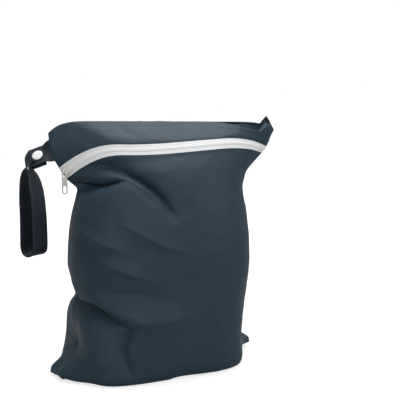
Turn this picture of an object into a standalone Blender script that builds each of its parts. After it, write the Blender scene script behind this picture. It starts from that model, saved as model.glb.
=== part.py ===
"""Cloth wet bag with a zip across the front and a snap strap, standing filled. Metres, +Z up, front towards -Y."""

import math
from collections import namedtuple

import bmesh
import bpy
import numpy as np
from mathutils import Matrix, Vector

# The filled bag
STANDING_HEIGHT = 0.291
BODY_WIDTH = 0.220
BODY_DEPTH = 0.152
BOTTOM_SEAM_Y = 0.006

# The cloth, as cut and sewn
FLAT_HEIGHT = 0.390
FLAT_WIDTH = 0.300
CLOTH = 0.0012
SEAM_ROUND = 0.0020
SEAM_MITRE = 2.0
GAP = 0.0003

# The zip
TOP_STRIP = 0.040
ZIP_BAND = 0.0140
COIL_WIDTH = 0.0050
COIL_THICK = 0.0019
TAPE_THICK = 0.0009

# The slider and its pull tab
SLIDER_FROM_SEAM = 0.0094
SLIDER_LENGTH = 0.0120
SLIDER_WIDTH = 0.0086
SLIDER_TAIL = 0.0064
SLIDER_PLATE = 0.0013
SLIDER_BEVEL = 0.0004
SLIDER_SHOULDER = 0.10
SLIDER_NOSE = 0.30
SLIDER_TIP = 0.55
SLIDER_CLEAR = 0.0006
POST_SIZE = 0.0022
BAIL_WIRE = 0.0011
BAIL_SPAN = 0.0066
BAIL_RISE = 0.0036
BAIL_AHEAD = 0.0030
BAIL_STEPS = 8
PULL_LENGTH = 0.0265
PULL_WIDTH = 0.0068
PULL_THICK = 0.0014
PULL_BAR = 0.0015
PULL_RIM = 0.0013
PULL_CORNER = 0.0012
PULL_EYE = 0.0052
PULL_SLOT_WIDTH = 0.0040
PULL_SLOT_LENGTH = 0.0085
PULL_SLOT_FOOT = 0.0022

# The strap and its snap
STRAP_WIDTH = 0.025
STRAP_THICK = 0.0016
STRAP_DROP = 0.118
STRAP_FROM_TOP = 0.021
STRAP_SEAT = 0.0008
SNAP_CAP = 0.0124
SNAP_CAP_RISE = 0.0017
SNAP_CAP_MARGIN = 0.0005
SNAP_POST = 0.0032
SNAP_STUD = 0.0080
SNAP_BETWEEN = 0.0026
SNAP_FROM_SEAM = 0.0150
SNAP_FLAT_END = 1.25

# Levels across the bag. Share is the place along the cloth from the bottom seam to the top seam, heights are shares
# of STANDING_HEIGHT, reaches of BODY_DEPTH, and seams of half of BODY_WIDTH. Square and full shape the outline from
# above, sag is how sharply the ends leave the middle height, and turn is the twist of the level in degrees.
Level = namedtuple(
    "Level",
    "share front_height front_reach back_height back_reach left_seam right_seam left_height right_height"
    " square full sag turn",
)
LEVELS = [
    Level(0.000, 0.000, 0.000, 0.000, 0.000, -1.155, 1.236, 0.010, 0.014, 2.2, 2.2, 5.0, 0.0),
    Level(0.013, 0.000, 0.030, 0.000, 0.030, -1.150, 1.232, 0.026, 0.030, 2.2, 2.2, 5.0, 0.0),
    Level(0.070, 0.000, 0.180, 0.000, 0.170, -1.075, 1.160, 0.052, 0.056, 2.4, 2.3, 5.0, 0.0),
    Level(0.140, 0.000, 0.370, 0.000, 0.330, -1.005, 1.060, 0.064, 0.080, 3.0, 2.9, 6.0, 0.0),
    Level(0.190, 0.003, 0.495, 0.003, 0.425, -0.965, 0.990, 0.084, 0.103, 3.6, 3.5, 7.0, 0.0),
    Level(0.222, 0.030, 0.532, 0.030, 0.455, -0.945, 0.962, 0.108, 0.128, 3.8, 3.6, 7.0, 0.0),
    Level(0.262, 0.080, 0.540, 0.082, 0.462, -0.935, 0.952, 0.148, 0.160, 3.6, 3.4, 6.0, 0.0),
    Level(0.330, 0.175, 0.545, 0.176, 0.468, -0.925, 0.958, 0.218, 0.224, 3.2, 3.0, 4.0, -1.5),
    Level(0.375, 0.236, 0.548, 0.238, 0.470, -0.900, 0.976, 0.262, 0.266, 3.0, 2.8, 3.0, -2.8),
    Level(0.415, 0.292, 0.548, 0.294, 0.470, -0.855, 0.998, 0.302, 0.306, 2.9, 2.7, 2.4, -4.0),
    Level(0.460, 0.350, 0.545, 0.353, 0.468, -0.885, 1.028, 0.352, 0.358, 2.8, 2.6, 2.4, -5.0),
    Level(0.520, 0.428, 0.545, 0.430, 0.462, -0.915, 1.055, 0.422, 0.428, 2.7, 2.5, 2.4, -6.5),
    Level(0.600, 0.535, 0.530, 0.536, 0.445, -0.905, 1.055, 0.520, 0.528, 2.6, 2.4, 2.4, -8.0),
    Level(0.680, 0.640, 0.498, 0.642, 0.415, -0.870, 1.035, 0.620, 0.630, 2.5, 2.3, 2.4, -8.0),
    Level(0.750, 0.728, 0.455, 0.732, 0.375, -0.825, 1.010, 0.690, 0.715, 2.5, 2.1, 2.4, -8.0),
    Level(0.810, 0.805, 0.390, 0.808, 0.330, -0.810, 1.080, 0.728, 0.782, 2.4, 1.7, 2.3, -8.0),
    Level(0.862, 0.876, 0.287, 0.868, 0.270, -0.920, 1.290, 0.771, 0.866, 2.1, 1.1, 2.2, -8.0),
    Level(0.898, 0.918, 0.247, 0.908, 0.215, -1.000, 1.350, 0.817, 0.895, 2.0, 1.0, 2.2, -8.0),
    Level(0.950, 0.963, 0.125, 0.958, 0.110, -1.085, 1.395, 0.886, 0.930, 2.0, 1.0, 3.2, -8.0),
    Level(1.000, 1.000, 0.000, 1.000, 0.000, -1.100, 1.440, 0.952, 0.960, 2.0, 1.0, 6.0, -8.0),
]

# Folds and dents. Each is a chain of places on the cloth, across from the left seam and up from the bottom seam, with
# its depth inwards and its half width there as shares of BODY_DEPTH. A depth below zero is a ridge.
Bend = namedtuple("Bend", "across up depth half_width")
FRONT_FOLDS = {
    "valley_under_zip": [
        Bend(0.20, 0.840, 0.000, 0.090),
        Bend(0.30, 0.812, 0.085, 0.105),
        Bend(0.39, 0.778, 0.105, 0.105),
        Bend(0.46, 0.730, 0.070, 0.100),
        Bend(0.52, 0.660, 0.000, 0.090),
    ],
    "shelf_under_zip": [
        Bend(0.00, 0.828, -0.040, 0.100),
        Bend(0.14, 0.828, -0.075, 0.100),
        Bend(0.24, 0.800, -0.040, 0.090),
        Bend(0.34, 0.735, 0.000, 0.090),
    ],
    "crease_under_shelf": [
        Bend(0.02, 0.768, 0.060, 0.100),
        Bend(0.14, 0.766, 0.085, 0.105),
        Bend(0.25, 0.740, 0.040, 0.100),
        Bend(0.36, 0.690, 0.000, 0.090),
    ],
    "lip_over_notch": [
        Bend(0.04, 0.478, -0.015, 0.090),
        Bend(0.15, 0.445, -0.040, 0.095),
        Bend(0.27, 0.410, -0.030, 0.095),
        Bend(0.35, 0.385, 0.000, 0.090),
    ],
    "valley_from_notch": [
        Bend(0.04, 0.415, 0.045, 0.095),
        Bend(0.12, 0.388, 0.095, 0.100),
        Bend(0.21, 0.368, 0.085, 0.100),
        Bend(0.30, 0.335, 0.045, 0.095),
        Bend(0.29, 0.290, 0.030, 0.090),
        Bend(0.31, 0.235, 0.000, 0.090),
    ],
    "upper_dent": [Bend(0.08, 0.640, 0.010, 0.090), Bend(0.22, 0.600, 0.022, 0.100), Bend(0.40, 0.560, 0.0, 0.090)],
    "middle_dent": [Bend(0.16, 0.560, 0.006, 0.090), Bend(0.32, 0.520, 0.020, 0.100), Bend(0.52, 0.480, 0.0, 0.090)],
}
BACK_FOLDS = {
    "high_dent": [Bend(0.15, 0.800, 0.010, 0.100), Bend(0.32, 0.750, 0.045, 0.110), Bend(0.50, 0.700, 0.0, 0.100)],
    "side_dent": [Bend(0.85, 0.560, 0.030, 0.100), Bend(0.73, 0.530, 0.040, 0.110), Bend(0.60, 0.500, 0.0, 0.100)],
    "low_dent": [Bend(0.05, 0.430, 0.030, 0.100), Bend(0.20, 0.415, 0.035, 0.110), Bend(0.38, 0.395, 0.0, 0.100)],
}
FOLD_FREE_SEAM = 0.012
FOLD_FREE_FLOOR = 0.20
FOLD_FULL_FLOOR = 0.25
FOLD_FREE_EDGE = 0.02
RIGHT_EAR_LIFT = 0.030
RIGHT_EAR_SHARE = 0.962
RIGHT_EAR_HALF = 0.055
RIGHT_EAR_UP = 0.07
LEVEL_MIDDLE = 0.45

# The strap loop, from its end in the side seam round to the end under the snap. Out, back and down are shares of
# STRAP_DROP from the root, and heading and lift are the direction of the strap's width in degrees.
Turn = namedtuple("Turn", "out back down heading lift")
STRAP_LOOP = [
    Turn(0.196, 0.094, 0.104, 88.0, 30.0),
    Turn(0.217, 0.103, 0.178, 80.0, 14.0),
    Turn(0.226, 0.085, 0.291, 66.0, 4.0),
    Turn(0.230, 0.059, 0.465, 48.0, 0.0),
    Turn(0.230, 0.037, 0.613, 40.0, 0.0),
    Turn(0.230, 0.033, 0.813, 38.0, 0.0),
    Turn(0.230, 0.033, 0.917, 38.0, 0.0),
    Turn(0.217, 0.013, 0.975, 38.0, 0.0),
    Turn(0.185, -0.035, 0.999, 38.0, 0.0),
    Turn(0.152, -0.083, 0.975, 38.0, 0.0),
    Turn(0.139, -0.103, 0.917, 38.0, 0.0),
    Turn(0.139, -0.103, 0.726, 38.0, 0.0),
    Turn(0.141, -0.097, 0.578, 40.0, 0.0),
    Turn(0.146, -0.063, 0.422, 50.0, 0.0),
    Turn(0.152, -0.002, 0.291, 65.0, 2.0),
    Turn(0.157, 0.059, 0.187, 80.0, 12.0),
    Turn(0.157, 0.094, 0.130, 88.0, 30.0),
]

# The snap: the direction of the strap's width there in degrees, the way that the strap leaves the bag, and the dome
# of each cap as shares of its radius and rise.
SNAP_HEADING = 91.0
SNAP_LIFT = 45.6
SNAP_OUTWARDS = (-0.85, 0.35, -0.35)
Dome = namedtuple("Dome", "radius rise")
CAP_DOME = [Dome(1.00, 0.35), Dome(0.86, 0.75), Dome(0.50, 0.98), Dome(0.15, 1.00)]

# Steps of the meshes
FRONT_COLUMNS = 38
BACK_COLUMNS = 20
LOWER_SHARES = [
    0.0, 0.004, 0.0085, 0.04, 0.08, 0.12, 0.155, 0.185, 0.205, 0.225, 0.25, 0.285, 0.32, 0.345, 0.37, 0.395,
    0.42, 0.445, 0.47, 0.505, 0.545, 0.59, 0.635, 0.67, 0.70, 0.725, 0.75, 0.772, 0.794, 0.816, 0.838,
]
UPPER_STEPS = 4
EDGE_STEPS = (0.5, 1.0)
CURVE_POINTS = 241
BAIL_SIDES = 8
CAP_SIDES = 20
HOLE_SIDES = 16
NORMAL_STEP = 0.004

NAVY = (0.030, 0.048, 0.062)
WHITE = (0.85, 0.86, 0.88)
SILVER = (0.62, 0.63, 0.64)

ZIP_TOP = 1 - TOP_STRIP / FLAT_HEIGHT
ZIP_BOTTOM = ZIP_TOP - ZIP_BAND / FLAT_HEIGHT
ZIP_MIDDLE = (ZIP_TOP + ZIP_BOTTOM) / 2
COIL_HALF = COIL_WIDTH / 2 / FLAT_HEIGHT
GAP_SHARE = GAP / FLAT_HEIGHT
FRONT = -1
BACK = 1


def clear_scene():
    for obj in list(bpy.data.objects):
        bpy.data.objects.remove(obj, do_unlink=True)


def material(name, colour, roughness, metallic=0.0):
    """One plain material for a piece."""
    made = bpy.data.materials.new(name)
    made.use_nodes = True
    shader = made.node_tree.nodes["Principled BSDF"]
    shader.inputs["Base Color"].default_value = (*colour, 1.0)
    shader.inputs["Roughness"].default_value = roughness
    shader.inputs["Metallic"].default_value = metallic
    return made


def smooth_through(x, xs, ys):
    """A smooth curve through the points that never overshoots them."""
    xs = np.asarray(xs, float)
    ys = np.asarray(ys, float)
    width = np.diff(xs)
    slope = np.diff(ys) / width
    tangent = np.zeros_like(ys)
    same_way = slope[:-1] * slope[1:] > 0
    weight_a = 2 * width[1:] + width[:-1]
    weight_b = width[1:] + 2 * width[:-1]
    safe_a = np.where(same_way, slope[:-1], 1.0)
    safe_b = np.where(same_way, slope[1:], 1.0)
    tangent[1:-1] = np.where(same_way, (weight_a + weight_b) / (weight_a / safe_a + weight_b / safe_b), 0.0)
    tangent[0] = slope[0]
    tangent[-1] = slope[-1]
    i = np.clip(np.searchsorted(xs, x, side="right") - 1, 0, len(xs) - 2)
    t = (x - xs[i]) / width[i]
    rise = 3 * t**2 - 2 * t**3
    swell = t**3 - 2 * t**2 + t
    fall = t**3 - t**2
    return ys[i] * (1 - rise) + ys[i + 1] * rise + width[i] * (tangent[i] * swell + tangent[i + 1] * fall)


def level_at(share):
    """Every column of the table of levels at one place along the cloth."""
    shares = [level.share for level in LEVELS]
    values = [smooth_through(share, shares, [getattr(level, name) for level in LEVELS]) for name in Level._fields]
    return Level(*values)


def rounding(distance):
    """How far a sewn edge has reached its full half thickness, at a distance in from it."""
    inside = np.clip(distance / SEAM_ROUND, 0.0, 1.0)
    return np.sqrt(1 - (1 - inside) ** 2)


def level_curve(share, side):
    """Closely spaced points of the front or back cloth, from the left seam to the right seam."""
    level = level_at(share)
    height, reach = {
        FRONT: (level.front_height, level.front_reach),
        BACK: (level.back_height, level.back_reach),
    }[side]
    angle = np.linspace(0.0, math.pi, CURVE_POINTS)
    across = -np.sign(np.cos(angle)) * np.abs(np.cos(angle)) ** (2 / level.square)
    depth = np.abs(np.sin(angle)) ** (2 / level.full)
    half_width = (level.right_seam - level.left_seam) * BODY_WIDTH / 4
    centre = (level.right_seam + level.left_seam) * BODY_WIDTH / 4
    x = centre + half_width * across
    from_ends = min(share, 1 - share) * FLAT_HEIGHT
    thick = SEAM_ROUND * rounding(half_width * (1 - np.abs(across))) * rounding(from_ends)
    y = side * (GAP / 2 + thick + reach * BODY_DEPTH * depth)
    ends = np.clip((np.abs(across) - LEVEL_MIDDLE) / (1 - LEVEL_MIDDLE), 0.0, 1.0) ** level.sag
    end_height = np.where(across < 0, level.left_height, level.right_height)
    z = STANDING_HEIGHT * (height + (end_height - height) * ends)
    turn = math.radians(level.turn)
    return np.stack(
        [x * math.cos(turn) - y * math.sin(turn), BOTTOM_SEAM_Y + x * math.sin(turn) + y * math.cos(turn), z], axis=1
    )


def fold_depth(across, up, chain):
    """How deep one fold presses in at places on the cloth, from the nearest place on its chain."""
    here = np.stack([across * FLAT_WIDTH, up * FLAT_HEIGHT], axis=-1)
    nearest = np.full(across.shape, np.inf)
    depth = np.zeros(across.shape)
    half_width = np.ones(across.shape)
    for first, second in zip(chain, chain[1:]):
        start = np.array([first.across * FLAT_WIDTH, first.up * FLAT_HEIGHT])
        line = np.array([second.across * FLAT_WIDTH, second.up * FLAT_HEIGHT]) - start
        along = np.clip((here - start) @ line / (line @ line), 0, 1)
        distance = np.linalg.norm(here - start - along[..., None] * line, axis=-1)
        closer = distance < nearest
        nearest = np.where(closer, distance, nearest)
        depth = np.where(closer, first.depth + along * (second.depth - first.depth), depth)
        half_width = np.where(closer, first.half_width + along * (second.half_width - first.half_width), half_width)
    return depth * BODY_DEPTH * np.exp(-((nearest / (half_width * BODY_DEPTH)) ** 2))


def cloth_points(shares, columns, side):
    """Grid of points of the outer face: one row for each share, columns evenly spaced along the cloth."""
    rows = []
    for share in shares:
        curve = level_curve(share, side)
        steps = np.linalg.norm(np.diff(curve, axis=0), axis=1)
        length = np.concatenate([[0.0], np.cumsum(steps)])
        edge = [0.0] + [step * math.pi / 2 * SEAM_ROUND for step in EDGE_STEPS]
        inner = np.linspace(edge[-1], length[-1] - edge[-1], columns - 2 * len(EDGE_STEPS))
        places = np.concatenate([edge[:-1], inner, length[-1] - np.array(edge[:-1])[::-1]])
        row = np.stack([np.interp(places, length, curve[:, axis]) for axis in range(3)], axis=1)
        rows.append(row)
    return np.array(rows)


def outward_normals(surface, shares, columns, side):
    """Directions of length one that point out of a surface, taken over a short step up and down from each row."""
    shares = np.asarray(shares)
    along = np.gradient(surface(shares, columns, side), axis=1)
    above = surface(np.clip(shares + NORMAL_STEP, 0, 1), columns, side)
    below = surface(np.clip(shares - NORMAL_STEP, 0, 1), columns, side)
    normals = np.cross(along, above - below) * -side
    return normals / np.linalg.norm(normals, axis=2, keepdims=True)


def folded_cloth(shares, columns, side):
    """The outer face with its folds pressed in. The folds die out at the seams and on the floor."""
    points = cloth_points(shares, columns, side)
    normals = outward_normals(cloth_points, shares, columns, side)
    folds = FRONT_FOLDS if side == FRONT else BACK_FOLDS
    top = ZIP_BOTTOM if side == FRONT else 1.0
    steps = np.linalg.norm(np.diff(points, axis=1), axis=2)
    length = np.concatenate([np.zeros((len(shares), 1)), np.cumsum(steps, axis=1)], axis=1)
    width = length[:, -1:]
    across = length / width
    up = np.repeat(np.asarray(shares)[:, None], columns, axis=1)
    depth = sum(fold_depth(across, up, chain) for chain in folds.values())
    near_seam = np.clip(np.minimum(across, 1 - across) * width / FOLD_FREE_SEAM, 0, 1)
    near_floor = np.clip((up - FOLD_FREE_FLOOR) / (FOLD_FULL_FLOOR - FOLD_FREE_FLOOR), 0, 1)
    near_top = np.clip((top - up) / FOLD_FREE_EDGE, 0, 1)
    points = points - normals * (depth * near_seam * near_floor * near_top)[:, :, None]
    corner = np.exp(-(((across - RIGHT_EAR_SHARE) / RIGHT_EAR_HALF) ** 2))
    lift = RIGHT_EAR_LIFT * corner * np.clip((up - 1 + RIGHT_EAR_UP) / RIGHT_EAR_UP, 0, 1)
    points[:, :, 2] += STANDING_HEIGHT * lift
    return points


def seam_directions(shares):
    """The direction that points out of the plane of the seams at each share."""
    turns = [math.radians(level_at(share).turn) for share in shares]
    return np.array([[-math.sin(turn), math.cos(turn), 0.0] for turn in turns])


def inner_points(points, normals, shares, side, thickness, bottom_edge, top_edge):
    """The inner face of a wall. At a seam it stays in the seam's plane, so that the two cloths meet face to face."""
    planes = seam_directions(shares)
    inward = -normals * thickness
    rows = range(len(shares))
    seam_places = [(row, column) for row in rows for column in (0, -1)]
    seam_places += [(0, column) for column in range(points.shape[1]) if bottom_edge]
    seam_places += [(-1, column) for column in range(points.shape[1]) if top_edge]
    for row, column in seam_places:
        normal = normals[row, column]
        flat = normal - planes[row] * (normal @ planes[row])
        size = np.linalg.norm(flat)
        if size > 0:
            inward[row, column] = -flat / size * thickness * min(1 / size, SEAM_MITRE)
    inner = points + inward
    off_plane = side * np.einsum("ijk,ik->ij", inner - np.array([0.0, BOTTOM_SEAM_Y, 0.0]), planes)
    short = np.clip(GAP / 2 - off_plane, 0, None)
    return inner + side * short[:, :, None] * planes[:, None, :]


def wall_mesh(name, outer, inner, side):
    """A closed wall from its outer and inner grids of points, with faces split along the way that most folds run."""
    rows, columns = outer.shape[:2]
    body = bmesh.new()
    out = [[body.verts.new(outer[i, j]) for j in range(columns)] for i in range(rows)]
    ins = [[body.verts.new(inner[i, j]) for j in range(columns)] for i in range(rows)]
    for i in range(rows - 1):
        for j in range(columns - 1):
            low_left, low_right, high_right, high_left = (i, j), (i, j + 1), (i + 1, j + 1), (i + 1, j)
            for a, b, c in ((low_left, low_right, high_left), (low_right, high_right, high_left)):
                body.faces.new((out[a[0]][a[1]], out[b[0]][b[1]], out[c[0]][c[1]]))
                body.faces.new((ins[a[0]][a[1]], ins[c[0]][c[1]], ins[b[0]][b[1]]))
    border = [(0, j) for j in range(columns)]
    border += [(i, columns - 1) for i in range(1, rows)]
    border += [(rows - 1, j) for j in range(columns - 2, -1, -1)]
    border += [(i, 0) for i in range(rows - 2, 0, -1)]
    for a, b in zip(border, border[1:] + border[:1]):
        body.faces.new((out[b[0]][b[1]], out[a[0]][a[1]], ins[a[0]][a[1]], ins[b[0]][b[1]]))
    if side == BACK:
        bmesh.ops.reverse_faces(body, faces=body.faces)
    mesh = bpy.data.meshes.new(name)
    body.to_mesh(mesh)
    body.free()
    mesh.shade_smooth()
    mesh.set_sharp_from_angle(angle=math.radians(50))
    return mesh


def add_object(name, mesh, finish):
    obj = bpy.data.objects.new(name, mesh)
    bpy.context.scene.collection.objects.link(obj)
    obj.data.materials.append(finish)
    return obj


def cloth_wall(name, shares, columns, side, finish, thickness=CLOTH, bottom_edge=False, top_edge=False, proud=0.0):
    """One sewn panel or one length of tape, as a wall that follows the filled bag."""
    normals = outward_normals(folded_cloth, shares, columns, side)
    outer = folded_cloth(shares, columns, side) + normals * proud
    inner = inner_points(outer, normals, shares, side, thickness, bottom_edge, top_edge)
    return add_object(name, wall_mesh(name, outer, inner, side), finish)


def strip_shares(start, end, steps):
    """Shares from one edge of the top strip to the top seam, with two close ones for the rounded seam."""
    edge = SEAM_ROUND * math.pi / 2 / FLAT_HEIGHT
    even = list(np.linspace(start, end - edge, steps + 1))
    return even + [end - edge / 2, end]


def make_panels():
    cloth = material("coated_cloth", NAVY, 0.55)
    upper = strip_shares(ZIP_TOP, 1.0, UPPER_STEPS)
    lower = LOWER_SHARES + [ZIP_BOTTOM]
    cloth_wall("front_panel", lower, FRONT_COLUMNS, FRONT, cloth, bottom_edge=True)
    cloth_wall("back_panel", lower + upper, BACK_COLUMNS, BACK, cloth, bottom_edge=True, top_edge=True)
    cloth_wall("top_strip", upper, FRONT_COLUMNS, FRONT, cloth, top_edge=True)


def coil_frame():
    """Place on the coil under the slider, with the directions along the zip, across it and outwards."""
    shares = [ZIP_BOTTOM, ZIP_MIDDLE, ZIP_TOP]
    curves = [level_curve(share, FRONT) for share in shares]

    def at(curve, distance):
        steps = np.linalg.norm(np.diff(curve, axis=0), axis=1)
        length = np.concatenate([[0.0], np.cumsum(steps)])
        return np.array([np.interp(distance, length, curve[:, axis]) for axis in range(3)])

    half = SLIDER_LENGTH / 2
    centre = at(curves[1], SLIDER_FROM_SEAM)
    along = at(curves[1], SLIDER_FROM_SEAM + half) - at(curves[1], SLIDER_FROM_SEAM - half)
    across = at(curves[2], SLIDER_FROM_SEAM) - at(curves[0], SLIDER_FROM_SEAM)
    along = Vector(along).normalized()
    outward = along.cross(Vector(across)).normalized()
    across = outward.cross(along)
    return Vector(centre), along, across, outward


def frame_matrix(place, x_axis, y_axis, z_axis):
    turn = Matrix((x_axis, y_axis, z_axis)).transposed().to_4x4()
    return Matrix.Translation(place) @ turn


def bake(obj, matrix):
    """Puts an object's mesh in its place, so that the object itself stays unturned."""
    obj.data.transform(matrix)
    obj.data.update()


def box_mesh(name, low, high):
    body = bmesh.new()
    bmesh.ops.create_cube(body, size=1.0)
    size = [b - a for a, b in zip(low, high)]
    centre = [(a + b) / 2 for a, b in zip(low, high)]
    bmesh.ops.scale(body, vec=size, verts=body.verts)
    bmesh.ops.translate(body, vec=centre, verts=body.verts)
    mesh = bpy.data.meshes.new(name)
    body.to_mesh(mesh)
    body.free()
    return mesh


def plate_mesh(name, outline, bottom, top, bevel=0.0):
    """A flat plate from its outline, counter-clockwise, with its top edge taken off."""
    body = bmesh.new()
    base = body.faces.new([body.verts.new((x, y, bottom)) for x, y in outline])
    raised = bmesh.ops.extrude_face_region(body, geom=[base])["geom"]
    verts = [item for item in raised if isinstance(item, bmesh.types.BMVert)]
    bmesh.ops.translate(body, vec=(0, 0, top - bottom), verts=verts)
    bmesh.ops.recalc_face_normals(body, faces=body.faces)
    if bevel:
        rim = [edge for edge in body.edges if all(abs(v.co.z - top) < 1e-7 for v in edge.verts)]
        bmesh.ops.bevel(body, geom=rim, offset=bevel, segments=1, affect="EDGES")
    mesh = bpy.data.meshes.new(name)
    body.to_mesh(mesh)
    body.free()
    return mesh


def boolean(obj, other, operation):
    cut = obj.modifiers.new(operation.lower(), "BOOLEAN")
    cut.operation = operation
    cut.object = other
    cut.solver = "EXACT"
    other.hide_render = True
    other.display_type = "WIRE"


def slider_outline():
    """The shield shape of a slider plate: wide at the end with the post, narrow at the tail."""
    nose = -SLIDER_LENGTH / 2
    tail = SLIDER_LENGTH / 2
    shoulder = SLIDER_LENGTH * SLIDER_SHOULDER
    cheek = -SLIDER_LENGTH * SLIDER_NOSE
    wide = SLIDER_WIDTH / 2
    tip = wide * SLIDER_TIP
    narrow = SLIDER_TAIL / 2
    return [
        (tail, -narrow), (tail, narrow), (shoulder, wide), (cheek, wide),
        (nose, tip), (nose, -tip), (cheek, -wide), (shoulder, -wide),
    ]


def bail_directions(along, outward):
    """The pull hangs straight down, so its hinge lies level, along the zip as seen from above."""
    hinge = (along - Vector((0, 0, 1)) * along.z).normalized()
    rise = (outward - hinge * outward.dot(hinge)).normalized()
    legs = rise.cross(hinge).normalized()
    return hinge, rise, legs


def tube_mesh(name, path, radius, sides, normal):
    """A wire of even thickness along a flat path, with flat ends."""
    body = bmesh.new()
    rings = []
    for i, place in enumerate(path):
        ahead = path[min(i + 1, len(path) - 1)] - path[max(i - 1, 0)]
        beside = ahead.cross(normal).normalized()
        ring = []
        for k in range(sides):
            angle = 2 * math.pi * (k + 0.5) / sides
            ring.append(body.verts.new(place + radius * (math.cos(angle) * beside + math.sin(angle) * normal)))
        rings.append(ring)
    for first, second in zip(rings, rings[1:]):
        for k in range(sides):
            nxt = (k + 1) % sides
            body.faces.new((first[k], first[nxt], second[nxt], second[k]))
    body.faces.new(rings[0])
    body.faces.new(rings[-1])
    bmesh.ops.recalc_face_normals(body, faces=body.faces)
    mesh = bpy.data.meshes.new(name)
    body.to_mesh(mesh)
    body.free()
    return mesh


def make_zip():
    tape = material("zip_tape", WHITE, 0.8)
    shares = {
        "zip_tape_lower": (ZIP_BOTTOM + GAP_SHARE, ZIP_MIDDLE - COIL_HALF - GAP_SHARE),
        "zip_tape_upper": (ZIP_MIDDLE + COIL_HALF + GAP_SHARE, ZIP_TOP - GAP_SHARE),
    }
    for name, ends in shares.items():
        cloth_wall(name, list(ends), FRONT_COLUMNS, FRONT, tape, thickness=TAPE_THICK)
    proud = (COIL_THICK - TAPE_THICK) / 2
    coil = cloth_wall(
        "zip_coil", [ZIP_MIDDLE - COIL_HALF, ZIP_MIDDLE + COIL_HALF], FRONT_COLUMNS, FRONT,
        material("zip_coil", WHITE, 0.5), thickness=COIL_THICK, proud=proud,
    )
    centre, along, across, outward = coil_frame()
    place = frame_matrix(centre - outward * TAPE_THICK / 2, along, across, outward)
    hole = POST_SIZE / 2 + GAP
    reach = 2 * COIL_THICK
    post_x = slider_post()
    cutter = add_object(
        "post_hole", box_mesh("post_hole", (post_x - hole, -hole, -reach), (post_x + hole, hole, reach)),
        coil.active_material,
    )
    bake(cutter, place)
    boolean(coil, cutter, "DIFFERENCE")
    return along, outward, place


def slider_post():
    """Place of the slider's post along the zip, from the slider's middle."""
    return -SLIDER_LENGTH / 2 + POST_SIZE


def make_slider(along, outward, place):
    """Two plates on a post, with a bail on the outer plate for the pull tab."""
    metal = material("plated_metal", SILVER, 0.3, 1.0)
    clear = COIL_THICK / 2 + SLIDER_CLEAR
    top = clear + SLIDER_PLATE
    slider = add_object("zip_slider", plate_mesh("zip_slider", slider_outline(), clear, top, SLIDER_BEVEL), metal)
    bake(slider, place)
    lower = add_object("lower_plate", plate_mesh("lower_plate", slider_outline(), -top, -clear), metal)
    bake(lower, place)
    boolean(slider, lower, "UNION")
    post = POST_SIZE / 2
    post_x = slider_post()
    low = (post_x - post, -post, -top + SLIDER_PLATE / 2)
    high = (post_x + post, post, top - SLIDER_PLATE / 2)
    stem = add_object("post", box_mesh("post", low, high), metal)
    bake(stem, place)
    boolean(slider, stem, "UNION")
    hinge, rise, legs = bail_directions(along, outward)
    foot = place @ Vector((-BAIL_AHEAD, 0, top))
    path = []
    for k in range(BAIL_STEPS + 1):
        angle = math.pi * k / BAIL_STEPS
        path.append(foot + legs * math.cos(angle) * BAIL_SPAN / 2 + rise * math.sin(angle) * BAIL_RISE)
    first = path[0] - outward * SLIDER_PLATE / 2
    last = path[-1] - outward * SLIDER_PLATE / 2
    bail = add_object("bail", tube_mesh("bail", [first, *path, last], BAIL_WIRE / 2, BAIL_SIDES, hinge), metal)
    boolean(slider, bail, "UNION")
    return foot + rise * (BAIL_RISE - BAIL_WIRE / 2) / 2, hinge


def make_pull(place, hinge):
    """Flat tab with an eye over the bail and a long slot near its free end. It hangs straight down."""
    half = PULL_WIDTH / 2
    top = PULL_BAR / 2
    foot = top - PULL_LENGTH
    side = half - PULL_CORNER
    outline = [
        (-side, foot), (side, foot), (half, foot + PULL_CORNER), (half, top - PULL_CORNER),
        (side, top), (-side, top), (-half, top - PULL_CORNER), (-half, foot + PULL_CORNER),
    ]
    face = hinge.cross(Vector((0, 0, 1))).normalized()
    matrix = frame_matrix(place, hinge, Vector((0, 0, 1)), face)
    finish = material("pull_metal", SILVER, 0.3, 1.0)
    tab = add_object("zip_pull", plate_mesh("zip_pull", outline, -PULL_THICK / 2, PULL_THICK / 2), finish)
    eye_half = half - PULL_RIM
    slot_foot = foot + PULL_SLOT_FOOT
    holes = {
        "eye": (-eye_half, eye_half, top - PULL_BAR - PULL_EYE, top - PULL_BAR),
        "slot": (-PULL_SLOT_WIDTH / 2, PULL_SLOT_WIDTH / 2, slot_foot, slot_foot + PULL_SLOT_LENGTH),
    }
    for name, (left, right, low, high) in holes.items():
        cutter = add_object(name, box_mesh(name, (left, low, -PULL_THICK), (right, high, PULL_THICK)), finish)
        boolean(tab, cutter, "DIFFERENCE")
        cutter.parent = tab
    tab.matrix_world = matrix


def strap_root():
    """Place of the strap's root on the left seam, with the seam's direction there."""
    share = 1 - STRAP_FROM_TOP / FLAT_HEIGHT
    half = STRAP_WIDTH / 2 / FLAT_HEIGHT
    ends = [Vector(level_curve(share + side * half, FRONT)[0]) for side in (-1, 1)]
    return Vector(level_curve(share, FRONT)[0]), (ends[1] - ends[0]).normalized()


def direction(heading, lift):
    turn = math.radians(heading)
    rise = math.radians(lift)
    return Vector((math.cos(rise) * math.cos(turn), math.cos(rise) * math.sin(turn), math.sin(rise)))


def snap_frame():
    """Centre of the snap in the strap's outer layer, with its directions away from the bag, across and outwards."""
    root, seam = strap_root()
    away = Vector(SNAP_OUTWARDS).normalized()
    width = direction(SNAP_HEADING, SNAP_LIFT)
    outward = width.cross(away).normalized()
    width = away.cross(outward).normalized()
    return root + away * SNAP_FROM_SEAM, away, width, outward


def layer_distance():
    return STRAP_THICK + SNAP_BETWEEN + 2 * GAP


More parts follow.
